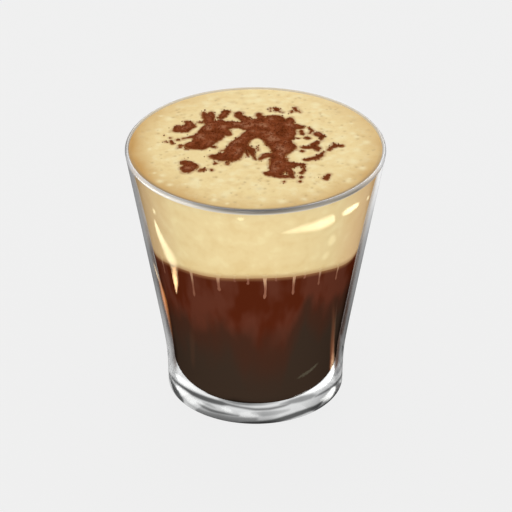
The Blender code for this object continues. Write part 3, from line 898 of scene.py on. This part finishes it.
def cocoa_finish():
    """Dry cocoa powder: thin at its edges, with painted shade just inside them and painted light on top of
    its clumps.
    """
    made, shader, wire = new_finish("cocoa_powder")
    crumbs = wire.cells(0.9 * MM)
    fine = wire.grain(0.4 * MM, 3.0, roughness=0.65)
    clouds = wire.grain(3.4 * MM, 2.0)
    body = wire.painted("cocoa", (
        (clouds.rise(0.52, 0.32) * 0.8, "cocoa_dark_and_shade"),
        # Painted light on top of the clumps
        (clouds.rise(0.48, 0.68) * wire.mark("deep"), "cocoa_lit"),
        # Painted shade just inside the edges and between the crumbs
        (wire.mark("edge") * 0.8, "cocoa_dark_and_shade"),
        (crumbs.rise(0.4, 0.8) * 0.35, "cocoa_dark_and_shade"),
        # Painted highlights on fine grains
        (fine.rise(0.54, 0.7) * 0.4, "cocoa_lit"),
        (wire.mark("thin") * 0.85, "cocoa_thin"),
    ))
    wire.fill(shader, {
        "Base Color": body,
        "Roughness": 0.85 + fine * 0.15,
        "Specular IOR Level": 0.0,
        "Normal": wire.bump(fine - crumbs * 0.8, 0.14 * MM, 0.8),
    })
    return made


# The tumbler

# Where the foot ends, and how far the lip reaches down outside and inside
BASE_TOP = 9 * MM
LIP_REACH = 0.9 * MM
INNER_LIP = 0.4 * MM
# How wide in mm the soft edge of a stroke on the glass is, and of a shade on the lip
SOFT_EDGE = 0.9
LIP_SHADE_EDGE = 1.0


def wall_stations(radius_at, low, high, count):
    return [(radius_at(z), z) for z in np.linspace(low, high, count)]


def tumbler_profile():
    """Stations (r, z, kind) from the axis under the foot, up the outside, over the lip and down inside."""
    sizes = settings().tumbler
    lip = lip_height()
    lip_radius = sizes.rim_wall / 2
    step = sizes.punt_step
    punt_edge = sizes.punt_radius - step
    corner = bowl_corner(0.0)[::-1]
    lip_foot = lip - LIP_REACH
    under = [(0.0, sizes.punt_depth), (punt_edge / 2, sizes.punt_depth - step / 4)]
    under += [(punt_edge, step), (punt_edge + step * 0.7, step * 0.25), (sizes.punt_radius, 0.0)]
    heel = arc((sizes.foot_radius - sizes.heel, sizes.heel), sizes.heel, -90, 0, CORNER_STEPS)
    base = wall_stations(outer_radius, sizes.heel, BASE_TOP, count=28)[1:]
    wall = wall_stations(outer_radius, BASE_TOP, lip_foot, count=60)[1:]
    over = wall_stations(outer_radius, lip_foot, lip, count=8)[1:]
    over += arc((sizes.rim_radius - lip_radius, lip), lip_radius, 0, 180, LIP_STEPS)[1:-1]
    inner_lip = wall_stations(inner_radius, lip, lip - INNER_LIP, count=3)
    inside = wall_stations(inner_radius, lip - INNER_LIP, corner[0][1], count=56)[1:-1]
    floor = [*corner, (0.0, sizes.base)]
    kinds = [("under", under), ("base", heel + base), ("wall", wall), ("lip", over)]
    kinds += [("inner_lip", inner_lip), ("inside", inside + floor)]
    return [(r, z, kind) for kind, spots in kinds for r, z in spots]


def foot_light(height, degrees_round):
    """How light the foot looks: its grey strokes are painted shade and reflections. Its back has the same
    grey strokes as its front.
    """
    aside = np.abs(degrees_round)
    folded = np.where(aside > 90, np.sign(degrees_round) * 180 - degrees_round, degrees_round)
    shade = strokes_at(folded, height, FOOT_SHADES, SOFT_EDGE, settings().tumbler.foot_radius / MM)
    return (FOOT_CLEAR * (1 - shade * (1 - hump(aside, 104, 18)))) ** 2


def edge_light(height, degrees_round):
    """How light the glass looks edge on, from LEFT_EDGE and RIGHT_EDGE: painted reflection and shade."""
    on_right = ramp(degrees_round, -30, 30)
    return along_line(height, LEFT_EDGE) * (1 - on_right) + along_line(height, RIGHT_EDGE) * on_right


def drink_in_wall(height, degrees_round):
    """How far out the wall takes up the colour of the drink: furthest low and high on the right."""
    low_and_high = hump(height, 15, 7) + ramp(height, 60, 66)
    return ramp(height, 9, 13) * (1 + 1.4 * ramp(degrees_round, 0, 30) * low_and_high)


def wall_light(height, degrees_round):
    """How light the wall looks: painted shade, a little darker low on the right."""
    return 1 - 0.6 * hump(height, 19, 7) * hump(degrees_round, 84, 20)


def lip_light(over, degrees_round):
    """How light the lip looks, in mm over it, as painted shade and painted highlights, and how much it takes
    the colour of the cream.
    """
    aside = np.abs(degrees_round)
    radius = settings().tumbler.rim_radius / MM
    behind = ramp(aside, 80, 120)
    light = along_line(degrees_round, LIP_FRONT) * (1 - behind) + along_line(over, LIP_BACK) * behind
    light = light * (1 - strokes_at(degrees_round, over, LIP_SHADES, LIP_SHADE_EDGE, radius))
    light = light + (1 - light) * strokes_at(degrees_round, over, LIP_SHINES, SOFT_EDGE, radius)
    return light, ramp(aside, 80, 110) * ramp(over, -0.2, 0.2) * 0.5


def tumbler_light(profile, degrees_round):
    """How light the glass looks at each station and column, as painted shade, reflections and highlights,
    and how creamy.
    """
    lip_radius = settings().tumbler.rim_wall / 2
    centre = settings().tumbler.rim_radius - lip_radius
    light = np.ones((len(profile), len(degrees_round)))
    creamy = np.zeros(light.shape)
    for station, (r, z, kind) in enumerate(profile):
        if kind == "base":
            light[station] = foot_light(z / MM, degrees_round)
        elif kind == "wall":
            light[station] = wall_light(z / MM, degrees_round)
        elif kind in ("lip", "inner_lip"):
            past = math.atan2(r - centre, max(z - lip_height(), 0.0)) * lip_radius
            below = max(lip_height() - z, 0.0)
            over = -past - below if kind == "lip" else -past + below
            light[station], creamy[station] = lip_light(over / MM, degrees_round)
    return light, creamy


def build_tumbler():
    profile = tumbler_profile()
    radii, heights, kinds = zip(*profile)
    columns = settings().tumbler.columns
    degrees_round = wrapped(angles_round(columns))
    height = all_round(heights, columns)
    up = height / MM
    light, creamy = tumbler_light(profile, degrees_round)
    fields = {
        "outside": all_round([kind in ("base", "wall", "lip") for kind in kinds], columns),
        # Painted shade, reflections and highlights on the glass
        "light": light,
        "creamy": creamy,
        # Painted reflection and shade of the wall edge on
        "edge": edge_light(up, degrees_round),
        "brown": ramp(up, 49, 43),
        "inner": drink_in_wall(up, degrees_round),
        # Painted shade where the glass starts to turn edge on, less on the right
        "dusk": 0.15 * ramp(up, 48, 48.9) * (1 - 0.9 * ramp(degrees_round, 0, 30)),
        "late": 0.06 * ramp(up, 50, 54),
    }
    points, faces, station_of, marks = turned(all_round(radii, columns), height, fields)
    finish_number = {"base": 1, "under": 1, "wall": 0, "lip": 2, "inner_lip": 2, "inside": 0}
    finish_of = [finish_number[kinds[station + 1]] for station in station_of]
    finishes = [
        clear_glass("glass_wall", index=1.005, clear=1.0),
        clear_glass("glass_base", index=1.02, clear=1.0),
        clear_glass("glass_lip", index=1.02, clear=0.3, edges=False),
    ]
    looks = (finishes, "clear_glass", ["glass"], marks, finish_of)
    hide_from(add_piece("tumbler", points, faces, *looks, sharp=50), "shadow", "diffuse")


# The drink

COFFEE_COLUMNS = 288
COFFEE_STEPS = 60
# How far one drink stays off another's face at the wall, and how far the cream reaches into the coffee
TUCK = 0.02 * MM
OVERLAP = 0.1 * MM
# Shares of the way out where the level face between coffee and cream has rings
LEVEL_RINGS = (0.7, 0.35)
# Radius in mm at which strokes on the coffee are measured, and how wide their soft edge is
GLEAM_RADIUS = 31
GLEAM_SOFT = 1.6


def build_coffee():
    angles = angles_round(COFFEE_COLUMNS)
    reach = settings().drink.reach - TUCK
    corner = bowl_corner(reach)
    corner_radii, corner_heights = zip((0.0, corner[0][1]), *corner)
    top = coffee_level(angles)
    side = corner_heights[-1] + (top - corner_heights[-1]) * np.linspace(0, 1, COFFEE_STEPS)[1:, None]
    wall = inner_radius(side) + reach
    inward = np.array([*LEVEL_RINGS, 0.0])[:, None]
    radius = np.vstack([all_round(corner_radii, COFFEE_COLUMNS), wall, wall[-1] * inward])
    height = np.vstack([all_round(corner_heights, COFFEE_COLUMNS), side, coffee_level(angles, inward)])
    degrees_round = np.broadcast_to(wrapped(angles), height.shape)
    fields = {
        "below": top - height,
        "gleam": strokes_at(degrees_round, height / MM, COFFEE_GLEAMS, GLEAM_SOFT, GLEAM_RADIUS),
        "turn": along_line(degrees_round, COFFEE_TURNS),
    }
    points, faces, _, marks = turned(radius, height, fields)
    return add_piece("coffee_body", points, faces, [coffee_finish()], "black_coffee", ["coffee"], marks)


def disc_grid(cells):
    """Points of a unit disc from a square grid, the faces between them and the numbers round its rim."""
    steps = np.linspace(-1, 1, cells + 1)
    a, b = np.meshgrid(steps, steps)
    wide = np.abs(a) > np.abs(b)
    with np.errstate(divide="ignore", invalid="ignore"):
        turn = np.where(wide, math.pi / 4 * b / a, math.pi / 2 - math.pi / 4 * a / b)
    radius = np.where(wide, a, b)
    turn = np.where(radius == 0, 0.0, turn)
    numbers = np.arange((cells + 1) ** 2).reshape(cells + 1, cells + 1)
    rim = [*numbers[0, :-1], *numbers[:-1, -1], *numbers[-1, :0:-1], *numbers[:0:-1, 0]]
    return radius * np.cos(turn), radius * np.sin(turn), grid_faces(numbers), np.array(rim)


def scattered(rng, count, reach, low, high):
    """Random spots (x, y, size) on a disc, from its radius and the smallest and largest size in mm."""
    radius = reach * MM * np.sqrt(rng.uniform(0, 1, count))
    turn = rng.uniform(0, math.tau, count)
    return zip(radius * np.cos(turn), radius * np.sin(turn), rng.uniform(low * MM, high * MM, count))


def spotted(x, y, spots):
    """The strongest of many round spots at each point, as 0 to 1."""
    strength = np.zeros_like(x)
    for at_x, at_y, size in spots:
        near = np.exp(-(((x - at_x) ** 2 + (y - at_y) ** 2) / size**2))
        strength = np.maximum(strength, near)
    return strength


CREAM_SEED = 7
TOP_CELLS = 240
SIDE_STEPS = 44
# Spots on top of the cream: how many, how far out they reach, and their smallest and largest size in mm
PITS = (190, 37, 0.22, 0.55)
LARGE_PITS = (46, 37, 0.6, 1.1)
PALE_SPOTS = (120, 36, 0.5, 1.5)
# How deep the pits are and how high the pale spots stand, in mm
PIT_DEPTH = 0.16
LARGE_PIT_DEPTH = 0.12
PALE_HEIGHT = 0.07


def cream_top(x, y, out):
    """Height of the top of the cream with its relief, and its marks. The lip shades it at the front, it is
    painted browner toward the wall as shade, and its pits are painted darker as shade.
    """
    rng = np.random.default_rng(CREAM_SEED)
    pit, large, pale = [spotted(x, y, scattered(rng, *spots)) for spots in (PITS, LARGE_PITS, PALE_SPOTS)]
    large = large * 0.45
    places = flat_points(x, y)
    soft = noise_at(places, 2.6 * MM, 3.7) * 0.10 + noise_at(places, 1.1 * MM, 9.1) * 0.05
    relief = soft - pit * PIT_DEPTH - large * LARGE_PIT_DEPTH + pale * PALE_HEIGHT
    relief = relief * MM * (1 - out**10)
    angle = np.arctan2(x, -y)
    ahead, right = np.cos(angle), np.sin(angle)
    # How strongly the painted shade toward the wall shows: most at the sides and front, least at the back
    facing = 0.30 + 0.54 * np.abs(right) ** 1.5 + 0.30 * ahead - 0.12 * right
    facing += 0.3 * np.clip(-right, 0, 1) ** 4 * np.clip(0.9 + 2.5 * ahead, 0, 1)
    uneven = noise_at(places, 7 * MM, 5.5) * 0.05
    return cream_surface(x, y) + relief, {
        # Painted shade in the pits
        "pit": np.maximum(pit, large),
        "pale": pale,
        "tan": ramp(out + uneven, 0.74, 1) ** 1.5 * facing,
        "shade": ramp(out, 0.96, 0.985) ** 1.5 * np.clip(0.1 + 0.9 * ahead, 0, 1),
        "dust": ramp(cocoa_depth(x / MM, y / MM), -0.9, 0),
    }


def build_cream():
    """The whipped cream: a top from a square grid, and rings down its side and under it."""
    drink = settings().drink
    edge = settings().tumbler.height - drink.below_rim
    rim = inner_radius(edge) + drink.reach
    x, y, top_faces, ring = disc_grid(TOP_CELLS)
    x, y = x.ravel() * rim, y.ravel() * rim
    height, top_marks = cream_top(x, y, np.hypot(x, y) / rim)
    points = list(np.column_stack([x, y, height]))
    faces = top_faces.tolist()
    finish_of = [0] * len(faces)
    angle = np.arctan2(x[ring], -y[ring])
    low = coffee_level(angle) - OVERLAP
    # Painted shade at the sides of the cream behind the wall, and painted light at its right
    behind = np.cos(angle) < 0
    flank = ramp(np.abs(np.sin(angle)), np.where(behind, 0.2, 0.66), np.where(behind, 0.95, 0.92))
    side_marks = {"above": 0 * angle, "flank": 0.6 * flank, "lit": np.clip(np.sin(angle), 0, 1)}
    marks = {name: list(top_marks.get(name, 0 * x)) for name in (*top_marks, *side_marks)}
    steps = [(1.0, edge + (low - edge) * step) for step in np.linspace(0, 1, SIDE_STEPS)[1:]]
    steps += [(out, coffee_level(angle, out) - OVERLAP) for out in LEVEL_RINGS]
    for out, height in steps:
        radius = (inner_radius(height if out == 1.0 else low) + drink.reach) * out
        lower = len(points) + np.arange(len(ring))
        points += list(on_circle(radius, angle, height))
        faces += ring_faces(lower, ring)
        side_marks["above"] = height - low
        side_marks["shade"] = 0.4 * np.exp((height - edge) / (1.4 * MM))
        for name, values in marks.items():
            values += list(side_marks.get(name, 0 * angle))
        ring = lower
    points.append((0.0, 0.0, drink.level - OVERLAP))
    for values in marks.values():
        values.append(0.0)
    faces += fan_faces(len(points) - 1, ring, True)
    finish_of += [1] * (len(faces) - len(finish_of))
    finishes = [cream_finish(), cream_side_finish()]
    return add_piece("whipped_cream", points, faces, finishes, "egg_cream", ["egg_cream"], marks, finish_of)


RUN_SEED = 3
RUN_SIDES = 14
RUN_STATIONS = 30
# How much a run sways in mm, how far it bulges towards the wall, and the least share of its size left at
# its tip
RUN_SWAY = 0.25
RUN_BACK = 0.10 * MM
RUN_TIP = 0.02


def run_rings(degrees_round, run_length, half_width, rng):
    """Rings of a run of cream, from its root in the cream to the drop at its tip, and where they lie."""
    drink = settings().drink
    angle = math.radians(degrees_round)
    level = float(coffee_level(angle))
    start, end = level + drink.run_root, level - run_length * MM
    sway = rng.uniform(-RUN_SWAY, RUN_SWAY, 2) * MM
    turns = angles_round(RUN_SIDES)
    down = np.linspace(0, 1, RUN_STATIONS)[:, None]
    height = start + (end - start) * down
    root = 1 + ramp(down, 0.3, 0) ** 2
    taper = 0.85 - 0.4 * down**0.8 + 0.28 * hump(down, 0.88, 0.08)
    tip = np.maximum(np.sqrt(1 - ramp(down, 0.9, 1) ** 2), RUN_TIP)
    aside = sway[0] * np.sin(math.pi * down) + sway[1] * np.sin(2.3 * math.pi * down) * 0.5
    aside = aside + half_width * MM * root * taper * tip * np.sin(turns)
    face = inner_radius(height) + drink.reach - TUCK
    outward = np.where(np.cos(turns) > 0, RUN_BACK, drink.run_depth) * tip
    rings = on_circle(face + outward * np.cos(turns), angle + aside / face, height)
    return rings, np.repeat(down, RUN_SIDES), np.repeat(level - height, RUN_SIDES)


def build_cream_runs():
    rng = np.random.default_rng(RUN_SEED)
    points, faces = [], []
    marks = {"down": [], "faint": [], "below": []}
    for degrees_round, run_length, half_width, pale in CREAM_RUNS:
        rings, down, below = run_rings(degrees_round, run_length, half_width, rng)
        numbers = len(points) + np.arange(len(down)).reshape(RUN_STATIONS, RUN_SIDES)
        for upper, lower in zip(numbers, numbers[1:]):
            faces += ring_faces(lower, upper)
        faces += [numbers[0].tolist(), numbers[-1][::-1].tolist()]
        points += rings.reshape(-1, 3).tolist()
        for name, values in (("down", down), ("below", below), ("faint", 0.6 * (1 - pale) + 0 * down)):
            marks[name] += values.tolist()
    return add_piece("cream_runs", points, faces, [run_finish()], "egg_cream", ["egg_cream"], marks)


# The cocoa

# The part of the cream that holds cocoa, in mm
COCOA_WIDE = (-30, 28)
COCOA_DEEP = (-25, 27)
FAR_OUTSIDE = -99.0
# How far in mm the crust's mesh goes past the edge of the powder, and how far it sinks into the cream
CRUST_SKIRT = 0.45
CRUST_SINK = 0.5 * MM
CRUMB_SEED = 5
CRUMB_TRIES = 60000
# Smallest and largest loose crumb in mm, how far each is squashed, and how far its corners are pushed
CRUMB_SIZES = (0.12, 0.3)
CRUMB_SQUASH = (0.65, 1.2)
CRUMB_PUSH = 0.18
# Height of the crust's crumbs, and of its finest grain
CRUMB_RELIEF = 0.16 * MM
FINE_RELIEF = 0.05 * MM


def cocoa_depth(x, y):
    """How deep each point (in millimetres) lies inside the cocoa. It is below 0 on bare cream."""
    spread = settings().cocoa.spread
    depth = np.full(np.shape(x), FAR_OUTSIDE)
    for stroke in COCOA_STROKES + FINE_STROKES:
        for (x0, y0, w0), (x1, y1, w1) in zip(stroke, stroke[1:]):
            along, away = stretch_at(x, y, (x0, y0), (x1, y1))
            depth = np.maximum(depth, (w0 + along * (w1 - w0)) * spread - away)
    for at_x, at_y, radius in COCOA_SPECKS:
        depth = np.maximum(depth, radius * spread - np.hypot(x - at_x, y - at_y))
    places = flat_points(x, y)
    ragged = noise_at(places, 2.2, 1.3) * 0.6 + noise_at(places, 0.9, 4.4) * 0.28
    return depth + ragged.reshape(np.shape(x))


def crust_height(x, y, depth):
    """Height of the cocoa over the cream, below 0 outside it. The points and how deep they lie are in mm."""
    cocoa = settings().cocoa
    places = flat_points(x, y) * MM
    crumbs = np.array([noise.voronoi(Vector(place) / cocoa.crumb)[0][0] for place in places])
    fine = noise_at(places, 0.45 * MM, 2.2)
    rise = np.where(depth > 0, 1 - np.exp(-depth / 1.1), depth * 0.9)
    swell = 0.8 + 0.35 * noise_at(places, 3.5 * MM, 8.8)
    lumps = (CRUMB_RELIEF * (0.55 - crumbs) + FINE_RELIEF * fine) * np.clip(depth + 0.4, 0, 1)
    return cocoa.thickness * rise * swell + lumps


def build_crust():
    """The clumps of cocoa: the kept cells of a grid, doubled underneath and closed round their edges."""
    cell = settings().cocoa.cell / MM
    x, y = np.meshgrid(np.arange(*COCOA_WIDE, cell), np.arange(*COCOA_DEEP, cell))
    depth = cocoa_depth(x, y)
    near = depth > -CRUST_SKIRT
    kept = np.logical_and.reduce([near[corner] for corner in GRID_CORNERS])
    used = np.zeros(x.shape, bool)
    for corner in GRID_CORNERS:
        used[corner] |= kept
    x, y, depth = x[used], y[used], depth[used]
    count = len(x)
    numbers = np.full(used.shape, -1)
    numbers[used] = np.arange(count)
    quads = grid_faces(numbers)[kept.ravel()]
    cream = cream_surface(x * MM, y * MM)
    heights = (cream + crust_height(x, y, depth), cream - CRUST_SINK)
    points = [point for height in heights for point in np.column_stack([x * MM, y * MM, height])]
    edges = {}
    for quad in quads.tolist():
        for a, b in zip(quad, quad[1:] + quad[:1]):
            if not edges.pop((b, a), False):
                edges[(a, b)] = True
    faces = [*quads.tolist(), *(quads[:, ::-1] + count).tolist()]
    faces += [(b, a, a + count, b + count) for a, b in edges]
    fields = {
        # Painted shade just inside the edge of the cocoa, and painted light deep inside it
        "edge": np.clip(1 - np.abs(depth - 0.6) / 0.9, 0, 1),
        "deep": ramp(depth, 0.7, 2.1),
        "thin": ramp(depth, 0.45, 0),
    }
    marks = {mark: [*field, *field] for mark, field in fields.items()}
    return add_piece("cocoa_crust", points, faces, [cocoa_finish()], "cocoa_powder", [], marks, sharp=60)


def icosahedron():
    golden = (1 + 5**0.5) / 2
    points = []
    for a in (-1, 1):
        for b in (-golden, golden):
            points += [(0, a, b), (a, b, 0), (b, 0, a)]
    points = np.array(points) / math.hypot(1, golden)
    faces = []
    for i in range(12):
        for j in range(i + 1, 12):
            for k in range(j + 1, 12):
                sides = [np.linalg.norm(points[m] - points[n]) for m, n in ((i, j), (j, k), (i, k))]
                if max(sides) < 1.1:
                    outward = np.dot(np.cross(points[j] - points[i], points[k] - points[i]), points[i])
                    faces.append((i, j, k) if outward > 0 else (i, k, j))
    return points, np.array(faces)


def build_crumbs():
    """Loose crumbs of cocoa on the crust, along its edge and thrown a little way off it."""
    rng = np.random.default_rng(CRUMB_SEED)
    ball, ball_faces = icosahedron()
    x, y = [rng.uniform(low + 1, high - 1, CRUMB_TRIES) for low, high in (COCOA_WIDE, COCOA_DEEP)]
    depth = cocoa_depth(x, y)
    chance = np.where(depth > -0.3, 0.04, 0.004 * np.exp((depth + 0.3) / 0.9))
    chance = np.where(depth > 0.3, 0.06, chance)
    chosen = np.nonzero(rng.uniform(0, 1, CRUMB_TRIES) < chance)[0][: settings().cocoa.crumbs]
    x, y, depth = x[chosen], y[chosen], depth[chosen]
    size = rng.uniform(*CRUMB_SIZES, len(chosen)) * MM * np.where(depth < -1.2, 0.9, 1.0)
    height = np.maximum(crust_height(x, y, depth), 0.0) + cream_surface(x * MM, y * MM)
    height = np.minimum(height, CAD_BOX[1][2] - 1.7 * size)
    points, faces = [], []
    # Crumbs near the edge get the painted shade, the others the painted light
    edge = np.repeat(np.where(depth < 0.5, 0.7, 0.1), len(ball))
    marks = {"edge": edge, "deep": 0.5 - 0.5 * edge, "thin": 0 * edge}
    for number in range(len(chosen)):
        squash = rng.uniform(*CRUMB_SQUASH, 3) * size[number]
        spots = ball * squash * (1 + rng.uniform(-CRUMB_PUSH, CRUMB_PUSH, (len(ball), 1)))
        spots += (x[number] * MM, y[number] * MM, height[number] + size[number] * 0.25)
        faces += (ball_faces + len(points)).tolist()
        points += spots.tolist()
    finishes = [bpy.data.materials["cocoa_powder"]]
    return add_piece("cocoa_crumbs", points, faces, finishes, "cocoa_powder", [], marks, sharp=80)


# The stage

SENSOR_WIDTH = 36
FAR_CLIP = 50
# Soft square lights: where they are, the height that they point at, and the length of a side, in metres
AREAS = {
    "overhead": ((-0.1, 0.5, 1.0), 0.08, 0.7),
    "fill": ((-0.1, -1.3, 0.3), 0.05, 0.5),
    "rear": ((0.1, 1.1, 0.6), 0.08, 0.6),
}


def camera_spot():
    """Where the main camera is, and the way back to it from the spot that it looks at."""
    stage = settings().stage
    back = Vector((0, -math.cos(stage.elevation), math.sin(stage.elevation)))
    return Vector((0, 0, stage.aim)) + back * stage.distance, back


def aimed(made, spot, ahead):
    """Puts a camera or a light at a spot and turns it to look ahead."""
    made.location = spot
    made.rotation_mode = "QUATERNION"
    made.rotation_quaternion = ahead.to_track_quat("-Z", "Y")
    return made


def add_camera():
    stage = settings().stage
    spot, back = camera_spot()
    lens = bpy.data.cameras.new("camera")
    lens.sensor_width = SENSOR_WIDTH
    lens.lens = SENSOR_WIDTH * stage.focal
    lens.shift_x = stage.shift_x
    lens.shift_y = stage.shift_y
    lens.clip_end = FAR_CLIP
    bpy.context.scene.camera = aimed(linked("camera", lens), spot, -back)


def add_area(name, spot, aim_height, side, power):
    light = bpy.data.lights.new(name, "AREA")
    light.size = side
    light.energy = power
    return aimed(linked(name, light), spot, Vector((0, 0, aim_height)) - Vector(spot))


def glowing(name, strength, matt):
    """A material that gives off light, on a matt grey that takes a little shadow."""
    made, wire = bare_finish(name)
    light = wire.node("ShaderNodeEmission", values={"Strength": strength})
    grey = wire.node("ShaderNodeBsdfDiffuse", values={"Color": (matt, matt, matt, 1.0)})
    both = wire.node("ShaderNodeAddShader", values={0: light, 1: grey})
    wire.node("ShaderNodeOutputMaterial", values={"Surface": both})
    return made


# The cards. Their distance from the wall, and the steps between two spots of a card
CARD_DISTANCE = 80 * MM
CARD_STEPS = 10
# Radius in mm at which spots round the wall are measured, and the least half width and height there
CARD_RADIUS = 33
CARD_THIN = 0.05
CARD_LOW = 0.3
# Strength of a card whose mark is 1, how many steps it takes to fade in, and the profile across it
BRIGHTEST_CARD = 20.0
CARD_FADE = 5
CARD_PROFILE = ((-1.25, 0.0), (-0.85, 0.45), (-0.5, 0.9), (0.0, 1.0), (0.5, 0.9), (0.85, 0.45), (1.25, 0.0))


def wall_mirror(angle, height):
    """The spot of the wall at an angle round and a height, and the way the main camera's view leaves it."""
    radius = float(outer_radius(height))
    slope = math.atan(float(outer_radius(height + MM) - outer_radius(height - MM)) / (2 * MM))
    spot = Vector(on_circle(radius, angle, height))
    normal = Vector(on_circle(math.cos(slope), angle, -math.sin(slope)))
    seen = (camera_spot()[0] - spot).normalized()
    return spot, 2 * normal.dot(seen) * normal - seen


def eased(spots, steps):
    """Points on smooth curves through rows of numbers, with a few steps between two rows."""
    spots = np.array(spots, float)
    slopes = np.gradient(spots, axis=0)
    eased_spots = []
    for first, last, leave, arrive in zip(spots, spots[1:], slopes, slopes[1:]):
        for step in range(steps):
            t = step / steps
            eased_spots.append(
                (2 * t**3 - 3 * t**2 + 1) * first
                + (t**3 - 2 * t**2 + t) * leave
                + (3 * t**2 - 2 * t**3) * last
                + (t**3 - t**2) * arrive
            )
    return np.array([*eased_spots, spots[-1]])


def card_finish(name):
    """Soft-edged light of one of the scene's colours: the mesh marks how bright it is."""
    made, wire = bare_finish(name)
    light = wire.blend(wire.mark("bright"), BLACK, tone(name))
    shine = wire.node("ShaderNodeEmission", values={"Color": light, "Strength": BRIGHTEST_CARD})
    wire.node("ShaderNodeOutputMaterial", values={"Surface": shine})
    made.cycles.emission_sampling = "NONE"
    return made


def add_card(name, spots, finish):
    """A bright strip, mirrored along spots (degrees round, height, half width, strength) of the wall."""
    spots = eased(spots, CARD_STEPS)
    turns, heights, half_widths, strengths = spots.T
    middle = np.column_stack([np.radians(turns) * CARD_RADIUS, heights])
    along = np.gradient(middle, axis=0)
    along /= np.linalg.norm(along, axis=1)[:, None]
    from_start = np.arange(len(spots))
    ends = np.clip(np.minimum(from_start, from_start[::-1]) / CARD_FADE, 0, 1)
    half_widths = np.maximum(half_widths, CARD_THIN)
    strengths = strengths * ends / BRIGHTEST_CARD
    points, bright = [], []
    for (x, z), (along_x, along_z), half_width, strength in zip(middle, along, half_widths, strengths):
        for side, share_there in CARD_PROFILE:
            height = max(z + side * along_x * half_width, CARD_LOW)
            spot, leaves = wall_mirror((x - side * along_z * half_width) / CARD_RADIUS, height * MM)
            reach = min(CARD_DISTANCE, 0.9 * spot.z / max(-leaves.z, 0.001))
            points.append(spot + leaves * reach)
            bright.append(strength * share_there)
    faces = grid_faces(np.arange(len(points)).reshape(len(spots), -1)).tolist()
    made = linked_mesh(name, points, faces, [finish], {"bright": bright})
    hide_from(made, "camera", "diffuse", "shadow", "transmission")
    return made


def add_stage():
    stage = settings().stage
    add_camera()
    bpy.ops.mesh.primitive_plane_add(size=6)
    floor = bpy.context.object
    floor.name = "floor"
    floor.location.z = -0.05 * MM
    floor.data.materials.append(glowing("floor", stage.floor_glow, stage.floor_grey))
    hide_from(floor, "glossy")
    world = bpy.data.worlds.new("soft_room")
    bpy.context.scene.world = world
    world.use_nodes = True
    background = world.node_tree.nodes["Background"]
    background.inputs["Color"].default_value = WHITE
    background.inputs["Strength"].default_value = stage.sky
    world.cycles_visibility.glossy = False
    for name, (spot, aim_height, side) in AREAS.items():
        add_area(name, spot, aim_height, side, getattr(stage, name))
    finishes = {finish: card_finish(finish) for finish in sorted({finish for finish, _ in CARDS.values()})}
    for name, (finish, spots) in CARDS.items():
        add_card(name, spots, finishes[finish])
    bpy.context.scene.view_settings.view_transform = "Standard"


# Operators and panel

class EGGCOFFEE_OT_tumbler(Operator):
    """Make the clear tumbler"""

    bl_idname = "egg_coffee.tumbler"
    bl_label = "Tumbler"

    def execute(self, context):
        build_tumbler()
        return {"FINISHED"}


class EGGCOFFEE_OT_coffee(Operator):
    """Make the black coffee"""

    bl_idname = "egg_coffee.coffee"
    bl_label = "Coffee"

    def execute(self, context):
        build_coffee()
        return {"FINISHED"}


class EGGCOFFEE_OT_cream(Operator):
    """Make the whipped egg cream and its runs down the wall"""

    bl_idname = "egg_coffee.cream"
    bl_label = "Egg cream"

    def execute(self, context):
        build_cream()
        build_cream_runs()
        return {"FINISHED"}


class EGGCOFFEE_OT_cocoa(Operator):
    """Make the crust and the loose crumbs of cocoa"""

    bl_idname = "egg_coffee.cocoa"
    bl_label = "Cocoa"

    def execute(self, context):
        build_crust()
        build_crumbs()
        return {"FINISHED"}


class EGGCOFFEE_OT_stage(Operator):
    """Make the floor, the lights and the camera"""

    bl_idname = "egg_coffee.stage"
    bl_label = "Stage"

    def execute(self, context):
        add_stage()
        return {"FINISHED"}


OPERATORS = (
    EGGCOFFEE_OT_tumbler,
    EGGCOFFEE_OT_coffee,
    EGGCOFFEE_OT_cream,
    EGGCOFFEE_OT_cocoa,
    EGGCOFFEE_OT_stage,
)


class EGGCOFFEE_PT_panel(Panel):
    """Lists what the egg coffee is made of"""

    bl_label = "Egg coffee"
    bl_idname = "EGGCOFFEE_PT_panel"
    bl_space_type = "VIEW_3D"
    bl_region_type = "UI"
    bl_category = "Egg coffee"

    def draw(self, context):
        for operator in OPERATORS:
            self.layout.operator(operator.bl_idname)


CLASSES = (
    TumblerSettings,
    DrinkSettings,
    CocoaSettings,
    ColourSettings,
    StageSettings,
    EggCoffeeSettings,
    *OPERATORS,
    EGGCOFFEE_PT_panel,
)


def register():
    for made in CLASSES:
        bpy.utils.register_class(made)
    bpy.types.Scene.egg_coffee = PointerProperty(type=EggCoffeeSettings)


def unregister():
    del bpy.types.Scene.egg_coffee
    for made in reversed(CLASSES):
        bpy.utils.unregister_class(made)


def main():
    register()
    bpy.ops.egg_coffee.tumbler()
    bpy.ops.egg_coffee.coffee()
    bpy.ops.egg_coffee.cream()
    bpy.ops.egg_coffee.cocoa()
    bpy.ops.egg_coffee.stage()


if __name__ == "__main__":
    main()
